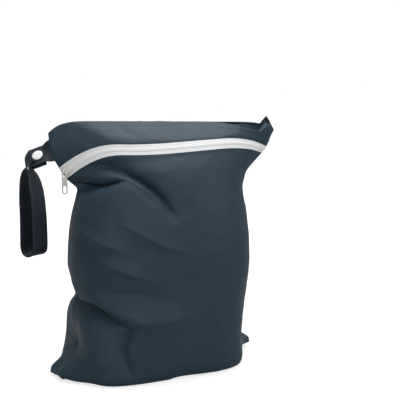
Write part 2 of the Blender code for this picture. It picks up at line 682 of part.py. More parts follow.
def strap_rows():
    """Centre line of the strap with the direction of its width, from the root round to the loose end."""
    root, seam = strap_root()
    centre, away, width, outward = snap_frame()
    flat = SNAP_CAP / 2 + SNAP_CAP_MARGIN
    rows = [(root + away * STRAP_SEAT, seam)]
    rows += [(centre + away * flat * k, width) for k in (-SNAP_FLAT_END, -1.0, 0.0, 1.0, SNAP_FLAT_END)]
    for turn in STRAP_LOOP:
        offset = Vector((-turn.out, turn.back, -turn.down)) * STRAP_DROP
        rows.append((root + offset, direction(turn.heading, turn.lift)))
    under = centre - outward * layer_distance()
    rows += [(under + away * flat * k, width) for k in (SNAP_FLAT_END, 1.0, 0.0, -1.0)]
    return rows


def smooth_rows(rows, steps):
    """More rows between those given, on a smooth curve through them."""
    made = []
    for i in range(len(rows) - 1):
        four = [rows[max(i - 1, 0)], rows[i], rows[i + 1], rows[min(i + 2, len(rows) - 1)]]
        for k in range(steps):
            t = k / steps
            weights = (
                -0.5 * t + t**2 - 0.5 * t**3,
                1 - 2.5 * t**2 + 1.5 * t**3,
                0.5 * t + 2 * t**2 - 1.5 * t**3,
                -0.5 * t**2 + 0.5 * t**3,
            )
            place = sum((row[0] * w for row, w in zip(four, weights)), Vector())
            width = sum((row[1] * w for row, w in zip(four, weights)), Vector())
            made.append((place, width.normalized()))
    made.append(rows[-1])
    return made


def make_strap():
    """Flat folded strap, one closed band of even thickness, with a hole for each half of the snap."""
    rows = smooth_rows(strap_rows(), 2)
    body = bmesh.new()
    rings = []
    for i, (place, width) in enumerate(rows):
        ahead = (rows[min(i + 1, len(rows) - 1)][0] - rows[max(i - 1, 0)][0]).normalized()
        normal = width.cross(ahead).normalized()
        beside = ahead.cross(normal)
        if i == 0:
            beside = width
            normal = beside.cross(ahead).normalized()
        corners = [(-1, -1), (1, -1), (1, 1), (-1, 1)]
        ring = [
            body.verts.new(place + beside * (a * STRAP_WIDTH / 2) + normal * (b * STRAP_THICK / 2))
            for a, b in corners
        ]
        rings.append(ring)
    for first, second in zip(rings, rings[1:]):
        for k in range(4):
            nxt = (k + 1) % 4
            body.faces.new((first[k], first[nxt], second[nxt], second[k]))
    body.faces.new(rings[0])
    body.faces.new(rings[-1])
    bmesh.ops.recalc_face_normals(body, faces=body.faces)
    mesh = bpy.data.meshes.new("strap")
    body.to_mesh(mesh)
    body.free()
    strap = add_object("strap", mesh, material("strap_cloth", NAVY, 0.6))
    centre, away, width, outward = snap_frame()
    hole = SNAP_POST / 2 + GAP
    for name, layer in {"stud_hole": 0.0, "socket_hole": -layer_distance()}.items():
        profile = [(hole, -STRAP_THICK), (hole, STRAP_THICK)]
        cutter = add_object(name, turned_mesh(name, profile, HOLE_SIDES), strap.active_material)
        bake(cutter, frame_matrix(centre + outward * layer, width, away, outward))
        boolean(strap, cutter, "DIFFERENCE")


def turned_mesh(name, profile, sides):
    """A closed solid turned about its own Z from a profile of radius and height, bottom to top."""
    body = bmesh.new()
    rings = []
    for radius, height in profile:
        ring = []
        for k in range(sides):
            angle = 2 * math.pi * k / sides
            ring.append(body.verts.new((radius * math.cos(angle), radius * math.sin(angle), height)))
        rings.append(ring)
    for first, second in zip(rings, rings[1:]):
        for k in range(sides):
            nxt = (k + 1) % sides
            body.faces.new((first[k], first[nxt], second[nxt], second[k]))
    body.faces.new(rings[0][::-1])
    body.faces.new(rings[-1])
    mesh = bpy.data.meshes.new(name)
    body.to_mesh(mesh)
    body.free()
    return mesh


def make_snap():
    """Two moulded halves, each with its cap outside, a post through the strap and its grip between the layers."""
    centre, away, width, outward = snap_frame()
    plastic = material("snap_plastic", WHITE, 0.35)
    face = STRAP_THICK / 2 + GAP
    cap = SNAP_CAP / 2
    grip = (SNAP_BETWEEN - GAP) / 2
    profile = [
        (SNAP_STUD / 2, -face - grip), (SNAP_STUD / 2, -face), (SNAP_POST / 2, -face), (SNAP_POST / 2, face),
        (cap, face),
    ]
    profile += [(cap * dome.radius, face + SNAP_CAP_RISE * dome.rise) for dome in CAP_DOME]
    stud = add_object("snap_stud", turned_mesh("snap_stud", profile, CAP_SIDES), plastic)
    bake(stud, frame_matrix(centre, width, away, outward))
    socket = add_object("snap_socket", turned_mesh("snap_socket", profile, CAP_SIDES), plastic)
    bake(socket, frame_matrix(centre - outward * layer_distance(), -width, away, -outward))


def main():
    clear_scene()
    make_panels()
    along, outward, place = make_zip()
    pivot, hinge = make_slider(along, outward, place)
    make_pull(pivot, hinge)
    make_strap()
    make_snap()
    bpy.context.view_layer.update()


main()
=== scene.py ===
"""Looks of the filled cloth wet bag: coated cloth with its folds, zip, strap and snap.

Metres, with +Z up and the front towards -Y.
"""

import math
from collections import namedtuple

import bpy
import numpy as np
from mathutils import Matrix, Vector


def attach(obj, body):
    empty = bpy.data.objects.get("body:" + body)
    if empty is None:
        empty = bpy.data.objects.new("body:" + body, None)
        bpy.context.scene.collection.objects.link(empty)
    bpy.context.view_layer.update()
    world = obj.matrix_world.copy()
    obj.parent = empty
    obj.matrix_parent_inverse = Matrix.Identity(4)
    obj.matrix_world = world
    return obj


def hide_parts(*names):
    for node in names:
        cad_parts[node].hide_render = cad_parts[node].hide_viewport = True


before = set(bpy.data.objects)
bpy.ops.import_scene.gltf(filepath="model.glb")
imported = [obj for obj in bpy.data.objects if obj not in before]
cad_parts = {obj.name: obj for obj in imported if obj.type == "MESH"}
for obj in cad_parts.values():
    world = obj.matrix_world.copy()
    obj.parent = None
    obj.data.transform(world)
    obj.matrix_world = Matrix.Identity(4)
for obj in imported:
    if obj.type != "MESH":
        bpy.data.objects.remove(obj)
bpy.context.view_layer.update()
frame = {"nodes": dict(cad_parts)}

# Front panel: one cut of laminated polyester, dark slate blue and satin, from the bottom seam up to the zip.
# It bulges over its load, and where it is slack it drops into deep folds under the zip and above the base.
STANDING_HEIGHT = 0.291
BODY_WIDTH = 0.220
BODY_DEPTH = 0.152
BOTTOM_SEAM_Y = 0.006
FLAT_HEIGHT = 0.390
FLAT_WIDTH = 0.300
CLOTH = 0.0012
SEAM_ROUND = 0.0020
GAP = 0.0003
TOP_STRIP = 0.040
ZIP_BAND = 0.0140
ZIP_TOP = 1 - TOP_STRIP / FLAT_HEIGHT
ZIP_BOTTOM = ZIP_TOP - ZIP_BAND / FLAT_HEIGHT
ZIP_MIDDLE = (ZIP_TOP + ZIP_BOTTOM) / 2
FRONT = -1
BACK = 1
FRONT_ROWS = 230
FRONT_COLUMNS = 190
CURVE_POINTS = 401
SEAM_CROWDING = 0.12
EDGE_CROWDING = 0.25

# Shares along the cloth from the bottom seam, heights as shares of STANDING_HEIGHT, reaches of BODY_DEPTH,
# and seams of half of BODY_WIDTH. Square and full shape the outline from above, turn is in degrees, and sag
# says how late the height goes over to that of the seams, outside the middle part.
LEVEL_MIDDLE = 0.45
Level = namedtuple(
    "Level",
    "share front_height front_reach back_height back_reach left_seam right_seam left_height right_height"
    " square full sag turn",
)
LEVELS = [
    Level(0.000, 0.000, 0.000, 0.000, 0.000, -1.155, 1.236, 0.010, 0.014, 2.2, 2.2, 5.0, 0.0),
    Level(0.013, 0.000, 0.030, 0.000, 0.030, -1.150, 1.232, 0.026, 0.030, 2.2, 2.2, 5.0, 0.0),
    Level(0.070, 0.000, 0.180, 0.000, 0.170, -1.075, 1.160, 0.052, 0.056, 2.4, 2.3, 5.0, 0.0),
    Level(0.140, 0.000, 0.370, 0.000, 0.330, -1.005, 1.060, 0.064, 0.080, 3.0, 2.9, 6.0, 0.0),
    Level(0.190, 0.003, 0.495, 0.003, 0.425, -0.965, 0.990, 0.084, 0.103, 3.6, 3.5, 7.0, 0.0),
    Level(0.222, 0.030, 0.532, 0.030, 0.455, -0.945, 0.962, 0.108, 0.128, 3.8, 3.6, 7.0, 0.0),
    Level(0.262, 0.080, 0.540, 0.082, 0.462, -0.935, 0.952, 0.148, 0.160, 3.6, 3.4, 6.0, 0.0),
    Level(0.330, 0.175, 0.545, 0.176, 0.468, -0.925, 0.958, 0.218, 0.224, 3.2, 3.0, 4.0, -1.5),
    Level(0.375, 0.236, 0.548, 0.238, 0.470, -0.900, 0.976, 0.262, 0.266, 3.0, 2.8, 3.0, -2.8),
    Level(0.415, 0.292, 0.548, 0.294, 0.470, -0.855, 0.998, 0.302, 0.306, 2.9, 2.7, 2.4, -4.0),
    Level(0.460, 0.350, 0.545, 0.353, 0.468, -0.885, 1.028, 0.352, 0.358, 2.8, 2.6, 2.4, -5.0),
    Level(0.520, 0.428, 0.545, 0.430, 0.462, -0.915, 1.055, 0.422, 0.428, 2.7, 2.5, 2.4, -6.5),
    Level(0.600, 0.535, 0.530, 0.536, 0.445, -0.905, 1.055, 0.520, 0.528, 2.6, 2.4, 2.4, -8.0),
    Level(0.680, 0.640, 0.498, 0.642, 0.415, -0.870, 1.035, 0.620, 0.630, 2.5, 2.3, 2.4, -8.0),
    Level(0.750, 0.728, 0.455, 0.732, 0.375, -0.825, 1.010, 0.690, 0.715, 2.5, 2.1, 2.4, -8.0),
    Level(0.810, 0.805, 0.390, 0.808, 0.330, -0.810, 1.080, 0.728, 0.782, 2.4, 1.7, 2.3, -8.0),
    Level(0.862, 0.876, 0.287, 0.868, 0.270, -0.920, 1.290, 0.771, 0.866, 2.1, 1.1, 2.2, -8.0),
    Level(0.898, 0.918, 0.247, 0.908, 0.215, -1.000, 1.350, 0.817, 0.895, 2.0, 1.0, 2.2, -8.0),
    Level(0.950, 0.963, 0.125, 0.958, 0.110, -1.085, 1.395, 0.886, 0.930, 2.0, 1.0, 3.2, -8.0),
    Level(1.000, 1.000, 0.000, 1.000, 0.000, -1.100, 1.440, 0.952, 0.960, 2.0, 1.0, 6.0, -8.0),
]

# The zip's line dips towards the left and rises towards the right, by metres at places across the bag. The
# cloth beside it follows, up to a reach in shares along the cloth.
Rise = namedtuple("Rise", "place height")
ZIP_RISES = [
    Rise(0.00, 0.0000),
    Rise(0.15, -0.0010),
    Rise(0.29, -0.0030),
    Rise(0.40, -0.0022),
    Rise(0.52, 0.0000),
    Rise(0.65, 0.0027),
    Rise(0.80, 0.0048),
    Rise(0.90, 0.0040),
    Rise(0.96, 0.0018),
    Rise(1.00, 0.0000),
]
ZIP_RISE_REACH = 0.052

# Folds of the front. A fold is a chain of places on the cloth, as shares across from the left seam and up
# from the bottom seam. Height is out of the cloth, below zero for a valley. Above and below are how far it
# reaches to each side, and lip is how far its upper side hangs over it, all in metres.
Fold = namedtuple("Fold", "across up height above below lip")
FRONT_FOLDS = {
    "valley_under_zip": [
        Fold(0.04, 0.868, 0.0000, 0.004, 0.008, 0.0000),
        Fold(0.13, 0.858, -0.0060, 0.004, 0.009, 0.0000),
        Fold(0.20, 0.847, -0.0100, 0.005, 0.010, 0.0000),
        Fold(0.27, 0.830, -0.0130, 0.007, 0.011, 0.0010),
        Fold(0.35, 0.801, -0.0145, 0.008, 0.012, 0.0020),
        Fold(0.415, 0.770, -0.0150, 0.009, 0.013, 0.0030),
        Fold(0.455, 0.738, -0.0130, 0.009, 0.013, 0.0030),
        Fold(0.480, 0.705, -0.0095, 0.008, 0.011, 0.0020),
        Fold(0.498, 0.672, -0.0035, 0.007, 0.008, 0.0000),
        Fold(0.510, 0.655, 0.0000, 0.005, 0.006, 0.0000),
    ],
    "lip_under_zip": [
        Fold(0.18, 0.826, 0.0000, 0.0030, 0.005, 0.0),
        Fold(0.26, 0.808, 0.0030, 0.0030, 0.005, 0.0),
        Fold(0.34, 0.781, 0.0042, 0.0028, 0.004, 0.0),
        Fold(0.40, 0.752, 0.0045, 0.0026, 0.004, 0.0),
        Fold(0.440, 0.722, 0.0032, 0.0026, 0.004, 0.0),
        Fold(0.465, 0.696, 0.0014, 0.0026, 0.004, 0.0),
        Fold(0.480, 0.678, 0.0000, 0.0024, 0.004, 0.0),
    ],
    "crest_below_lip": [
        Fold(0.27, 0.786, 0.0000, 0.004, 0.003, 0.0),
        Fold(0.325, 0.757, 0.0009, 0.005, 0.003, 0.0),
        Fold(0.405, 0.710, 0.0009, 0.005, 0.003, 0.0),
        Fold(0.47, 0.672, 0.0000, 0.004, 0.003, 0.0),
    ],
    "shelf_under_zip": [
        Fold(-0.02, 0.858, 0.0008, 0.006, 0.004, 0.0000),
        Fold(0.06, 0.850, 0.0018, 0.006, 0.004, 0.0000),
        Fold(0.14, 0.830, 0.0018, 0.006, 0.003, 0.0000),
        Fold(0.21, 0.816, 0.0014, 0.005, 0.003, 0.0000),
        Fold(0.28, 0.806, 0.0000, 0.005, 0.003, 0.0000),
    ],
    "crease_under_shelf": [
        Fold(-0.04, 0.840, -0.0060, 0.004, 0.014, 0.0020),
        Fold(0.04, 0.836, -0.0135, 0.003, 0.012, 0.0045),
        Fold(0.12, 0.819, -0.0145, 0.003, 0.013, 0.0055),
        Fold(0.19, 0.807, -0.0120, 0.003, 0.012, 0.0050),
        Fold(0.25, 0.799, -0.0070, 0.003, 0.010, 0.0025),
        Fold(0.295, 0.789, 0.0000, 0.003, 0.010, 0.0000),
    ],
    "lip_over_notch": [
        Fold(-0.02, 0.478, 0.0000, 0.012, 0.005, 0.0),
        Fold(0.06, 0.464, 0.0036, 0.014, 0.004, 0.0),
        Fold(0.10, 0.439, 0.0050, 0.014, 0.003, 0.0),
        Fold(0.17, 0.436, 0.0052, 0.016, 0.003, 0.0),
        Fold(0.24, 0.415, 0.0048, 0.016, 0.003, 0.0),
        Fold(0.305, 0.392, 0.0036, 0.014, 0.003, 0.0),
        Fold(0.35, 0.380, 0.0020, 0.012, 0.004, 0.0),
        Fold(0.40, 0.372, 0.0000, 0.010, 0.004, 0.0),
    ],
    "valley_from_notch": [
        Fold(-0.02, 0.440, -0.0040, 0.004, 0.012, 0.0010),
        Fold(0.05, 0.434, -0.0085, 0.003, 0.013, 0.0030),
        Fold(0.10, 0.422, -0.0125, 0.003, 0.014, 0.0045),
        Fold(0.17, 0.419, -0.0145, 0.003, 0.015, 0.0050),
        Fold(0.23, 0.402, -0.0130, 0.003, 0.014, 0.0045),
        Fold(0.285, 0.379, -0.0095, 0.003, 0.012, 0.0030),
        Fold(0.315, 0.365, -0.0050, 0.003, 0.010, 0.0010),
        Fold(0.335, 0.352, 0.0000, 0.003, 0.008, 0.0000),
    ],
    "upright_crease": [
        Fold(0.322, 0.362, 0.0000, 0.0030, 0.006, 0.0),
        Fold(0.312, 0.338, -0.0080, 0.0035, 0.013, 0.0),
        Fold(0.300, 0.305, -0.0080, 0.0035, 0.013, 0.0),
        Fold(0.305, 0.277, -0.0060, 0.0030, 0.011, 0.0),
        Fold(0.322, 0.242, -0.0035, 0.0030, 0.008, 0.0),
        Fold(0.335, 0.212, 0.0000, 0.0030, 0.006, 0.0),
    ],
    "high_facet": [
        Fold(0.05, 0.652, 0.0000, 0.008, 0.006, 0.0),
        Fold(0.15, 0.634, 0.0040, 0.009, 0.005, 0.0),
        Fold(0.24, 0.600, 0.0050, 0.009, 0.005, 0.0),
        Fold(0.345, 0.576, 0.0000, 0.006, 0.004, 0.0),
    ],
    "middle_facet": [
        Fold(0.28, 0.668, 0.0000, 0.008, 0.006, 0.0),
        Fold(0.36, 0.632, 0.0036, 0.012, 0.005, 0.0),
        Fold(0.45, 0.592, 0.0042, 0.012, 0.004, 0.0),
        Fold(0.56, 0.566, 0.0000, 0.006, 0.004, 0.0),
    ],
    "low_facet": [
        Fold(0.18, 0.566, 0.0000, 0.007, 0.005, 0.0),
        Fold(0.26, 0.540, 0.0036, 0.011, 0.004, 0.0),
        Fold(0.34, 0.514, 0.0040, 0.011, 0.004, 0.0),
        Fold(0.43, 0.488, 0.0000, 0.006, 0.004, 0.0),
    ],
    "shelf_above_base": [
        Fold(0.16, 0.472, 0.0000, 0.008, 0.012, 0.0),
        Fold(0.24, 0.466, -0.0036, 0.006, 0.018, 0.0),
        Fold(0.36, 0.462, -0.0040, 0.006, 0.020, 0.0),
        Fold(0.47, 0.430, -0.0020, 0.008, 0.016, 0.0),
        Fold(0.56, 0.405, 0.0000, 0.008, 0.012, 0.0),
    ],
    "crest_above_base": [
        Fold(0.30, 0.372, 0.0000, 0.014, 0.006, 0.0),
        Fold(0.35, 0.377, 0.0062, 0.020, 0.008, 0.0),
        Fold(0.46, 0.378, 0.0064, 0.020, 0.009, 0.0),
        Fold(0.56, 0.388, 0.0000, 0.014, 0.006, 0.0),
    ],
    "crease_at_left_base": [
        Fold(0.00, 0.265, 0.0000, 0.005, 0.007, 0.0),
        Fold(0.035, 0.235, -0.0035, 0.005, 0.007, 0.0),
        Fold(0.075, 0.205, 0.0000, 0.005, 0.007, 0.0),
    ],
    "right_side_swell": [
        Fold(0.93, 0.800, 0.0000, 0.020, 0.020, 0.0),
        Fold(0.80, 0.620, 0.0018, 0.030, 0.026, 0.0),
        Fold(0.78, 0.440, 0.0016, 0.030, 0.026, 0.0),
        Fold(0.84, 0.280, 0.0000, 0.024, 0.020, 0.0),
    ],
    "lifted_hem": [
        Fold(0.46, 0.186, 0.0000, 0.008, 0.010, 0.0),
        Fold(0.51, 0.193, -0.0060, 0.009, 0.014, 0.0),
        Fold(0.57, 0.190, -0.0020, 0.008, 0.012, 0.0),
        Fold(0.64, 0.188, 0.0000, 0.008, 0.010, 0.0),
    ],
}
FRONT_ENDS = (-1.0, ZIP_BOTTOM)
FRONT_SEED = 3
FOLD_ROUND = 0.12
FOLD_FREE_SEAM = 0.010
FOLD_FREE_EDGE = 0.006
FOLD_FREE_FLOOR = 0.165
FOLD_FULL_FLOOR = 0.215
FLOOR_CLEAR = 0.0002

# Slack cloth has small waves between two lengths, and a row of stitches gathers it in uneven puckers.
RIPPLE = 0.00016
RIPPLE_SHORT = 0.018
RIPPLE_LONG = 0.060
RIPPLE_WAVES = 16
RIPPLE_DIP = 0.8
PUCKER = 0.00028
PUCKER_EVERY = 0.0062
PUCKER_REACH = 0.007
PUCKER_FROM_SEAM = 0.002
PUCKER_FADE = 0.25
PUCKER_BEAT = 1.7
PUCKER_BEAT_SHARE = 0.6
PUCKER_BEAT_START = 1.3
WALL_SHARP = 70

# Places where the cloth is drawn in or spreads over the floor, as shares across and up the cloth with a
# reach both ways, and how far it goes there to the right, back and up. Some are on the front cloth alone,
# which still meets the back cloth at the seam.
Spread = namedtuple("Spread", "across up right back rise reach_across reach_up front_only")
SPREADS = [
    Spread(0.110, 0.125, -0.013, -0.003, -0.003, 0.085, 0.060, True),
    Spread(0.045, 0.075, -0.005, -0.016, -0.006, 0.050, 0.065, True),
    Spread(0.000, 0.260, 0.006, 0.001, 0.0, 0.110, 0.060, False),
    Spread(0.920, 0.230, -0.007, 0.001, 0.0, 0.160, 0.080, False),
]
SPREAD_FREE = 0.025

NAVY = (0.012, 0.031, 0.049)
NAVY_LIGHT = (0.017, 0.038, 0.057)
CLOTH_ROUGHNESS = 0.54
CLOTH_THREADS = 900.0


def smooth_through(x, xs, ys):
    """A smooth curve through the points that never overshoots them."""
    xs = np.asarray(xs, float)
    ys = np.asarray(ys, float)
    width = np.diff(xs)
    slope = np.diff(ys) / width
    tangent = np.zeros_like(ys)
    same_way = slope[:-1] * slope[1:] > 0
    weight_a = 2 * width[1:] + width[:-1]
    weight_b = width[1:] + 2 * width[:-1]
    slope_a = np.where(same_way, slope[:-1], 1.0)
    slope_b = np.where(same_way, slope[1:], 1.0)
    mean_slope = (weight_a + weight_b) / (weight_a / slope_a + weight_b / slope_b)
    tangent[1:-1] = np.where(same_way, mean_slope, 0.0)
    tangent[0] = slope[0]
    tangent[-1] = slope[-1]
    i = np.clip(np.searchsorted(xs, x, side="right") - 1, 0, len(xs) - 2)
    t = (x - xs[i]) / width[i]
    rise = 3 * t**2 - 2 * t**3
    swell = t**3 - 2 * t**2 + t
    fall = t**3 - t**2
    return ys[i] * (1 - rise) + ys[i + 1] * rise + width[i] * (tangent[i] * swell + tangent[i + 1] * fall)


def rounding(distance):
    """How far a sewn edge has reached its full half thickness, at a distance in from it."""
    inside = np.clip(distance / SEAM_ROUND, 0.0, 1.0)
    return np.sqrt(1 - (1 - inside) ** 2)


def level_curve(share, side):
    """Closely spaced points of the front or back cloth, from the left seam to the right seam."""
    columns = list(zip(*LEVELS))
    level = Level(*[smooth_through(share, columns[0], column) for column in columns])
    height, reach = {
        FRONT: (level.front_height, level.front_reach),
        BACK: (level.back_height, level.back_reach),
    }[side]
    angle = np.linspace(0.0, math.pi, CURVE_POINTS)
    across = -np.sign(np.cos(angle)) * np.abs(np.cos(angle)) ** (2 / level.square)
    depth = np.abs(np.sin(angle)) ** (2 / level.full)
    half_width = (level.right_seam - level.left_seam) * BODY_WIDTH / 4
    centre = (level.right_seam + level.left_seam) * BODY_WIDTH / 4
    x = centre + half_width * across
    from_ends = min(share, 1 - share) * FLAT_HEIGHT
    thick = SEAM_ROUND * rounding(half_width * (1 - np.abs(across))) * rounding(from_ends)
    y = side * (thick + reach * BODY_DEPTH * depth)
    ends = np.clip((np.abs(across) - LEVEL_MIDDLE) / (1 - LEVEL_MIDDLE), 0.0, 1.0) ** level.sag
    end_height = np.where(across < 0, level.left_height, level.right_height)
    z = STANDING_HEIGHT * (height + (end_height - height) * ends)
    if side == FRONT:
        rises = smooth_through((across + 1) / 2, *zip(*ZIP_RISES))
        z = z + rises * np.exp(-(((share - ZIP_MIDDLE) / ZIP_RISE_REACH) ** 2))
    cosine = math.cos(math.radians(level.turn))
    sine = math.sin(math.radians(level.turn))
    return np.stack([x * cosine - y * sine, BOTTOM_SEAM_Y + x * sine + y * cosine, z], axis=1)


def even_places(columns):
    """Places across the cloth, a little closer together at the seams."""
    t = np.linspace(0, 1, columns)
    return t - SEAM_CROWDING * np.sin(2 * math.pi * t) / (2 * math.pi)


def edge_shares(start, end, rows):
    """Places up the cloth, closer together at its two edges."""
    t = np.linspace(0, 1, rows)
    return start + (end - start) * (t - EDGE_CROWDING * np.sin(2 * math.pi * t) / (2 * math.pi))


def run_of(curve):
    """Length along a line of points, up to each of them."""
    return np.concatenate([[0.0], np.cumsum(np.linalg.norm(np.diff(curve, axis=0), axis=1))])


def points_along(curve, run, lengths):
    """Points at some lengths along a line of points."""
    return np.stack([np.interp(lengths, run, curve[:, axis]) for axis in range(3)], axis=-1)


def cloth_points(shares, places, side):
    """Grid of points of the outer face before its folds, a row for each share, and the width of each row."""
    rows = []
    widths = []
    for share in shares:
        curve = level_curve(share, side)
        run = run_of(curve)
        rows.append(points_along(curve, run, places * run[-1]))
        widths.append(run[-1])
    return np.array(rows), np.array(widths)


def unit(vectors):
    return vectors / np.maximum(np.linalg.norm(vectors, axis=-1, keepdims=True), 1e-12)


def surface_directions(points, side):
    """Directions of length one across, up and out of a grid of points."""
    across = unit(np.gradient(points, axis=1))
    up = unit(np.gradient(points, axis=0))
    return across, up, unit(np.cross(across, up) * -side)


def fold_shape(across, up, chain):
    """Height of one fold at places on the cloth, and how far it slides the cloth over itself both ways."""
    here = np.stack([across * FLAT_WIDTH, up * FLAT_HEIGHT], axis=-1)
    nearest = np.full(across.shape, np.inf)
    signed = np.zeros(across.shape)
    values = [np.zeros(across.shape)] * (len(Fold._fields) - 2)
    ways = np.zeros(here.shape)
    for first, second in zip(chain, chain[1:]):
        start = np.array([first.across * FLAT_WIDTH, first.up * FLAT_HEIGHT])
        line = np.array([second.across * FLAT_WIDTH, second.up * FLAT_HEIGHT]) - start
        along = np.clip((here - start) @ line / (line @ line), 0, 1)
        offset = here - start - along[..., None] * line
        distance = np.linalg.norm(offset, axis=-1)
        sign = np.where(line[0] * offset[..., 1] - line[1] * offset[..., 0] < 0, -1.0, 1.0)
        closer = distance < nearest
        nearest = np.where(closer, distance, nearest)
        signed = np.where(closer, sign * distance, signed)
        beside = np.array([-line[1], line[0]]) / np.linalg.norm(line)
        ways = np.where(closer[..., None], beside, ways)
        for k, (low, high) in enumerate(zip(first[2:], second[2:])):
            values[k] = np.where(closer, low + along * (high - low), values[k])
    height, above, below, lip = values
    reach = np.where(signed > 0, above, below)
    profile = np.exp(FOLD_ROUND - np.sqrt((signed / reach) ** 2 + FOLD_ROUND**2))
    over = np.clip(signed / above, 0, None)
    slide = -lip * over * np.exp(1 - over)
    return height * profile, slide[..., None] * ways


def ripples(across, up, seed):
    """Small uneven waves of slack cloth, as a sum of plane waves in mixed directions."""
    random = np.random.default_rng(seed)
    x = across * FLAT_WIDTH
    y = up * FLAT_HEIGHT
    total = np.zeros(across.shape)
    for k in range(RIPPLE_WAVES):
        length = RIPPLE_SHORT + (RIPPLE_LONG - RIPPLE_SHORT) * (k + 0.5) / RIPPLE_WAVES
        heading = random.uniform(0, math.pi)
        phase = random.uniform(0, 2 * math.pi)
        wave = np.sin(2 * math.pi * (x * math.cos(heading) + y * math.sin(heading)) / length + phase)
        total += wave * length / RIPPLE_LONG
    return RIPPLE * (1 - np.abs(total) * RIPPLE_DIP)


def puckers(distance, along):
    """Small gathers that a row of stitches pulls in the cloth beside it."""
    beat = np.sin(along / PUCKER_EVERY * PUCKER_BEAT + PUCKER_BEAT_START)
    uneven = np.sin(along / PUCKER_EVERY) + PUCKER_BEAT_SHARE * beat
    from_stitches = np.clip(distance / PUCKER_FROM_SEAM, 0, 1)
    return PUCKER * uneven * np.exp(-((distance / PUCKER_REACH) ** 2)) * from_stitches


def folded_cloth(shares, places, side, folds, ends, seed):
    """The outer face with its folds, and the directions out of it before them. Folds die out at both ends."""
    points, widths = cloth_points(shares, places, side)
    across, up = np.meshgrid(places, shares)
    across_way, up_way, out = surface_directions(points, side)
    height = ripples(across, up, seed)
    slide = np.zeros((*across.shape, 2))
    for chain in folds.values():
        rise, shift = fold_shape(across, up, chain)
        height = height + rise
        slide = slide + shift
    from_seam = np.minimum(across, 1 - across) * widths[:, None]
    free = np.clip(from_seam / FOLD_FREE_SEAM, 0, 1)
    from_edge = np.minimum(up - ends[0], ends[1] - up) * FLAT_HEIGHT
    free = free * np.clip(from_edge / FOLD_FREE_EDGE, 0, 1)
    free = free * np.clip((up - FOLD_FREE_FLOOR) / (FOLD_FULL_FLOOR - FOLD_FREE_FLOOR), 0, 1)
    free = free * free * (3 - 2 * free)
    height = height * free + puckers(from_seam, up * FLAT_HEIGHT) * free**PUCKER_FADE
    slide = slide * free[..., None]
    points = points + out * height[..., None] + across_way * slide[..., :1] + up_way * slide[..., 1:]
    points[:, :, 2] = np.maximum(points[:, :, 2], FLOOR_CLEAR)
    return points, out


def spread_out(points, shares, places, side):
    """Moves the cloth near the base's corners, by the same at a seam on both sides of it."""
    across, up = np.meshgrid(places, shares)
    moved = points.copy()
    for spread in SPREADS:
        if spread.front_only and side == BACK:
            continue
        near_across = (across - spread.across) / spread.reach_across
        near = np.exp(-(near_across**2) - ((up - spread.up) / spread.reach_up) ** 2)
        if spread.front_only:
            near = near * np.clip(across / SPREAD_FREE, 0, 1)
        moved += near[..., None] * np.array([spread.right, spread.back, spread.rise])
    moved[:, :, 2] = np.maximum(moved[:, :, 2], FLOOR_CLEAR)
    return moved


def add_object(name, data):
    """A new object of a mesh, curve, light or camera, as the only one selected."""
    obj = bpy.data.objects.new(name, data)
    bpy.context.scene.collection.objects.link(obj)
    bpy.ops.object.select_all(action="DESELECT")
    bpy.context.view_layer.objects.active = obj
    obj.select_set(True)
    return obj


def closed_wall(name, outer, inner, places, shares, side):
    """A closed mesh between two grids of points. Its UVs are the places on the flat cloth, in metres."""
    rows, columns = outer.shape[:2]
    count = rows * columns
    index = np.arange(count).reshape(rows, columns)
    low_left, low_right = index[:-1, :-1].ravel(), index[:-1, 1:].ravel()
    high_left, high_right = index[1:, :-1].ravel(), index[1:, 1:].ravel()
    quads = np.stack([low_left, low_right, high_right, high_left], axis=1)
    border = np.concatenate([index[0], index[1:, -1], index[-1, -2::-1], index[-2:0:-1, 0]])
    ahead = np.roll(border, -1)
    rim = np.stack([ahead, border, border + count, ahead + count], axis=1)
    faces = np.concatenate([quads, quads[:, ::-1] + count, rim])
    if side == BACK:
        faces = faces[:, ::-1]
    mesh = bpy.data.meshes.new(name)
    mesh.vertices.add(2 * count)
    mesh.vertices.foreach_set("co", np.concatenate([outer.reshape(-1, 3), inner.reshape(-1, 3)]).ravel())
    mesh.loops.add(faces.size)
    mesh.loops.foreach_set("vertex_index", faces.ravel())
    mesh.polygons.add(len(faces))
    mesh.polygons.foreach_set("loop_start", np.arange(0, faces.size, 4))
    mesh.update(calc_edges=True)
    across, up = np.meshgrid(np.asarray(places) * FLAT_WIDTH, np.asarray(shares) * FLAT_HEIGHT)
    flat = np.stack([across, up], axis=-1).reshape(-1, 2)
    layer = mesh.uv_layers.new(name="cloth")
    layer.data.foreach_set("uv", np.concatenate([flat, flat])[faces.ravel()].ravel())
    mesh.shade_smooth()
    mesh.set_sharp_from_angle(angle=math.radians(WALL_SHARP))
    return add_object(name, mesh)


def new_material(name, colour, roughness, metallic=0.0):
    """A material with its node tree and its shader, ready for more nodes."""
    made = bpy.data.materials.new(name)
    made.use_nodes = True
    shader = made.node_tree.nodes["Principled BSDF"]
    shader.inputs["Base Color"].default_value = (*colour, 1)
    shader.inputs["Roughness"].default_value = roughness
    shader.inputs["Metallic"].default_value = metallic
    return made, made.node_tree, shader


def add_node(tree, kind, **values):
    """One more node with some inputs set. A space in an input's name is written as an underscore."""
    node = tree.nodes.new("ShaderNode" + kind)
    for name, value in values.items():
        node.inputs[name.replace("_", " ")].default_value = value
    return node


def noise_on(tree, coordinates, **values):
    """A noise over the piece, as a mask from 0 to 1."""
    noise = add_node(tree, "TexNoise", **values)
    tree.links.new(coordinates, noise.inputs["Vector"])
    return noise.outputs["Fac"]


def own_place(tree):
    """Places on the piece in its own coordinates."""
    return add_node(tree, "TexCoord").outputs["Object"]


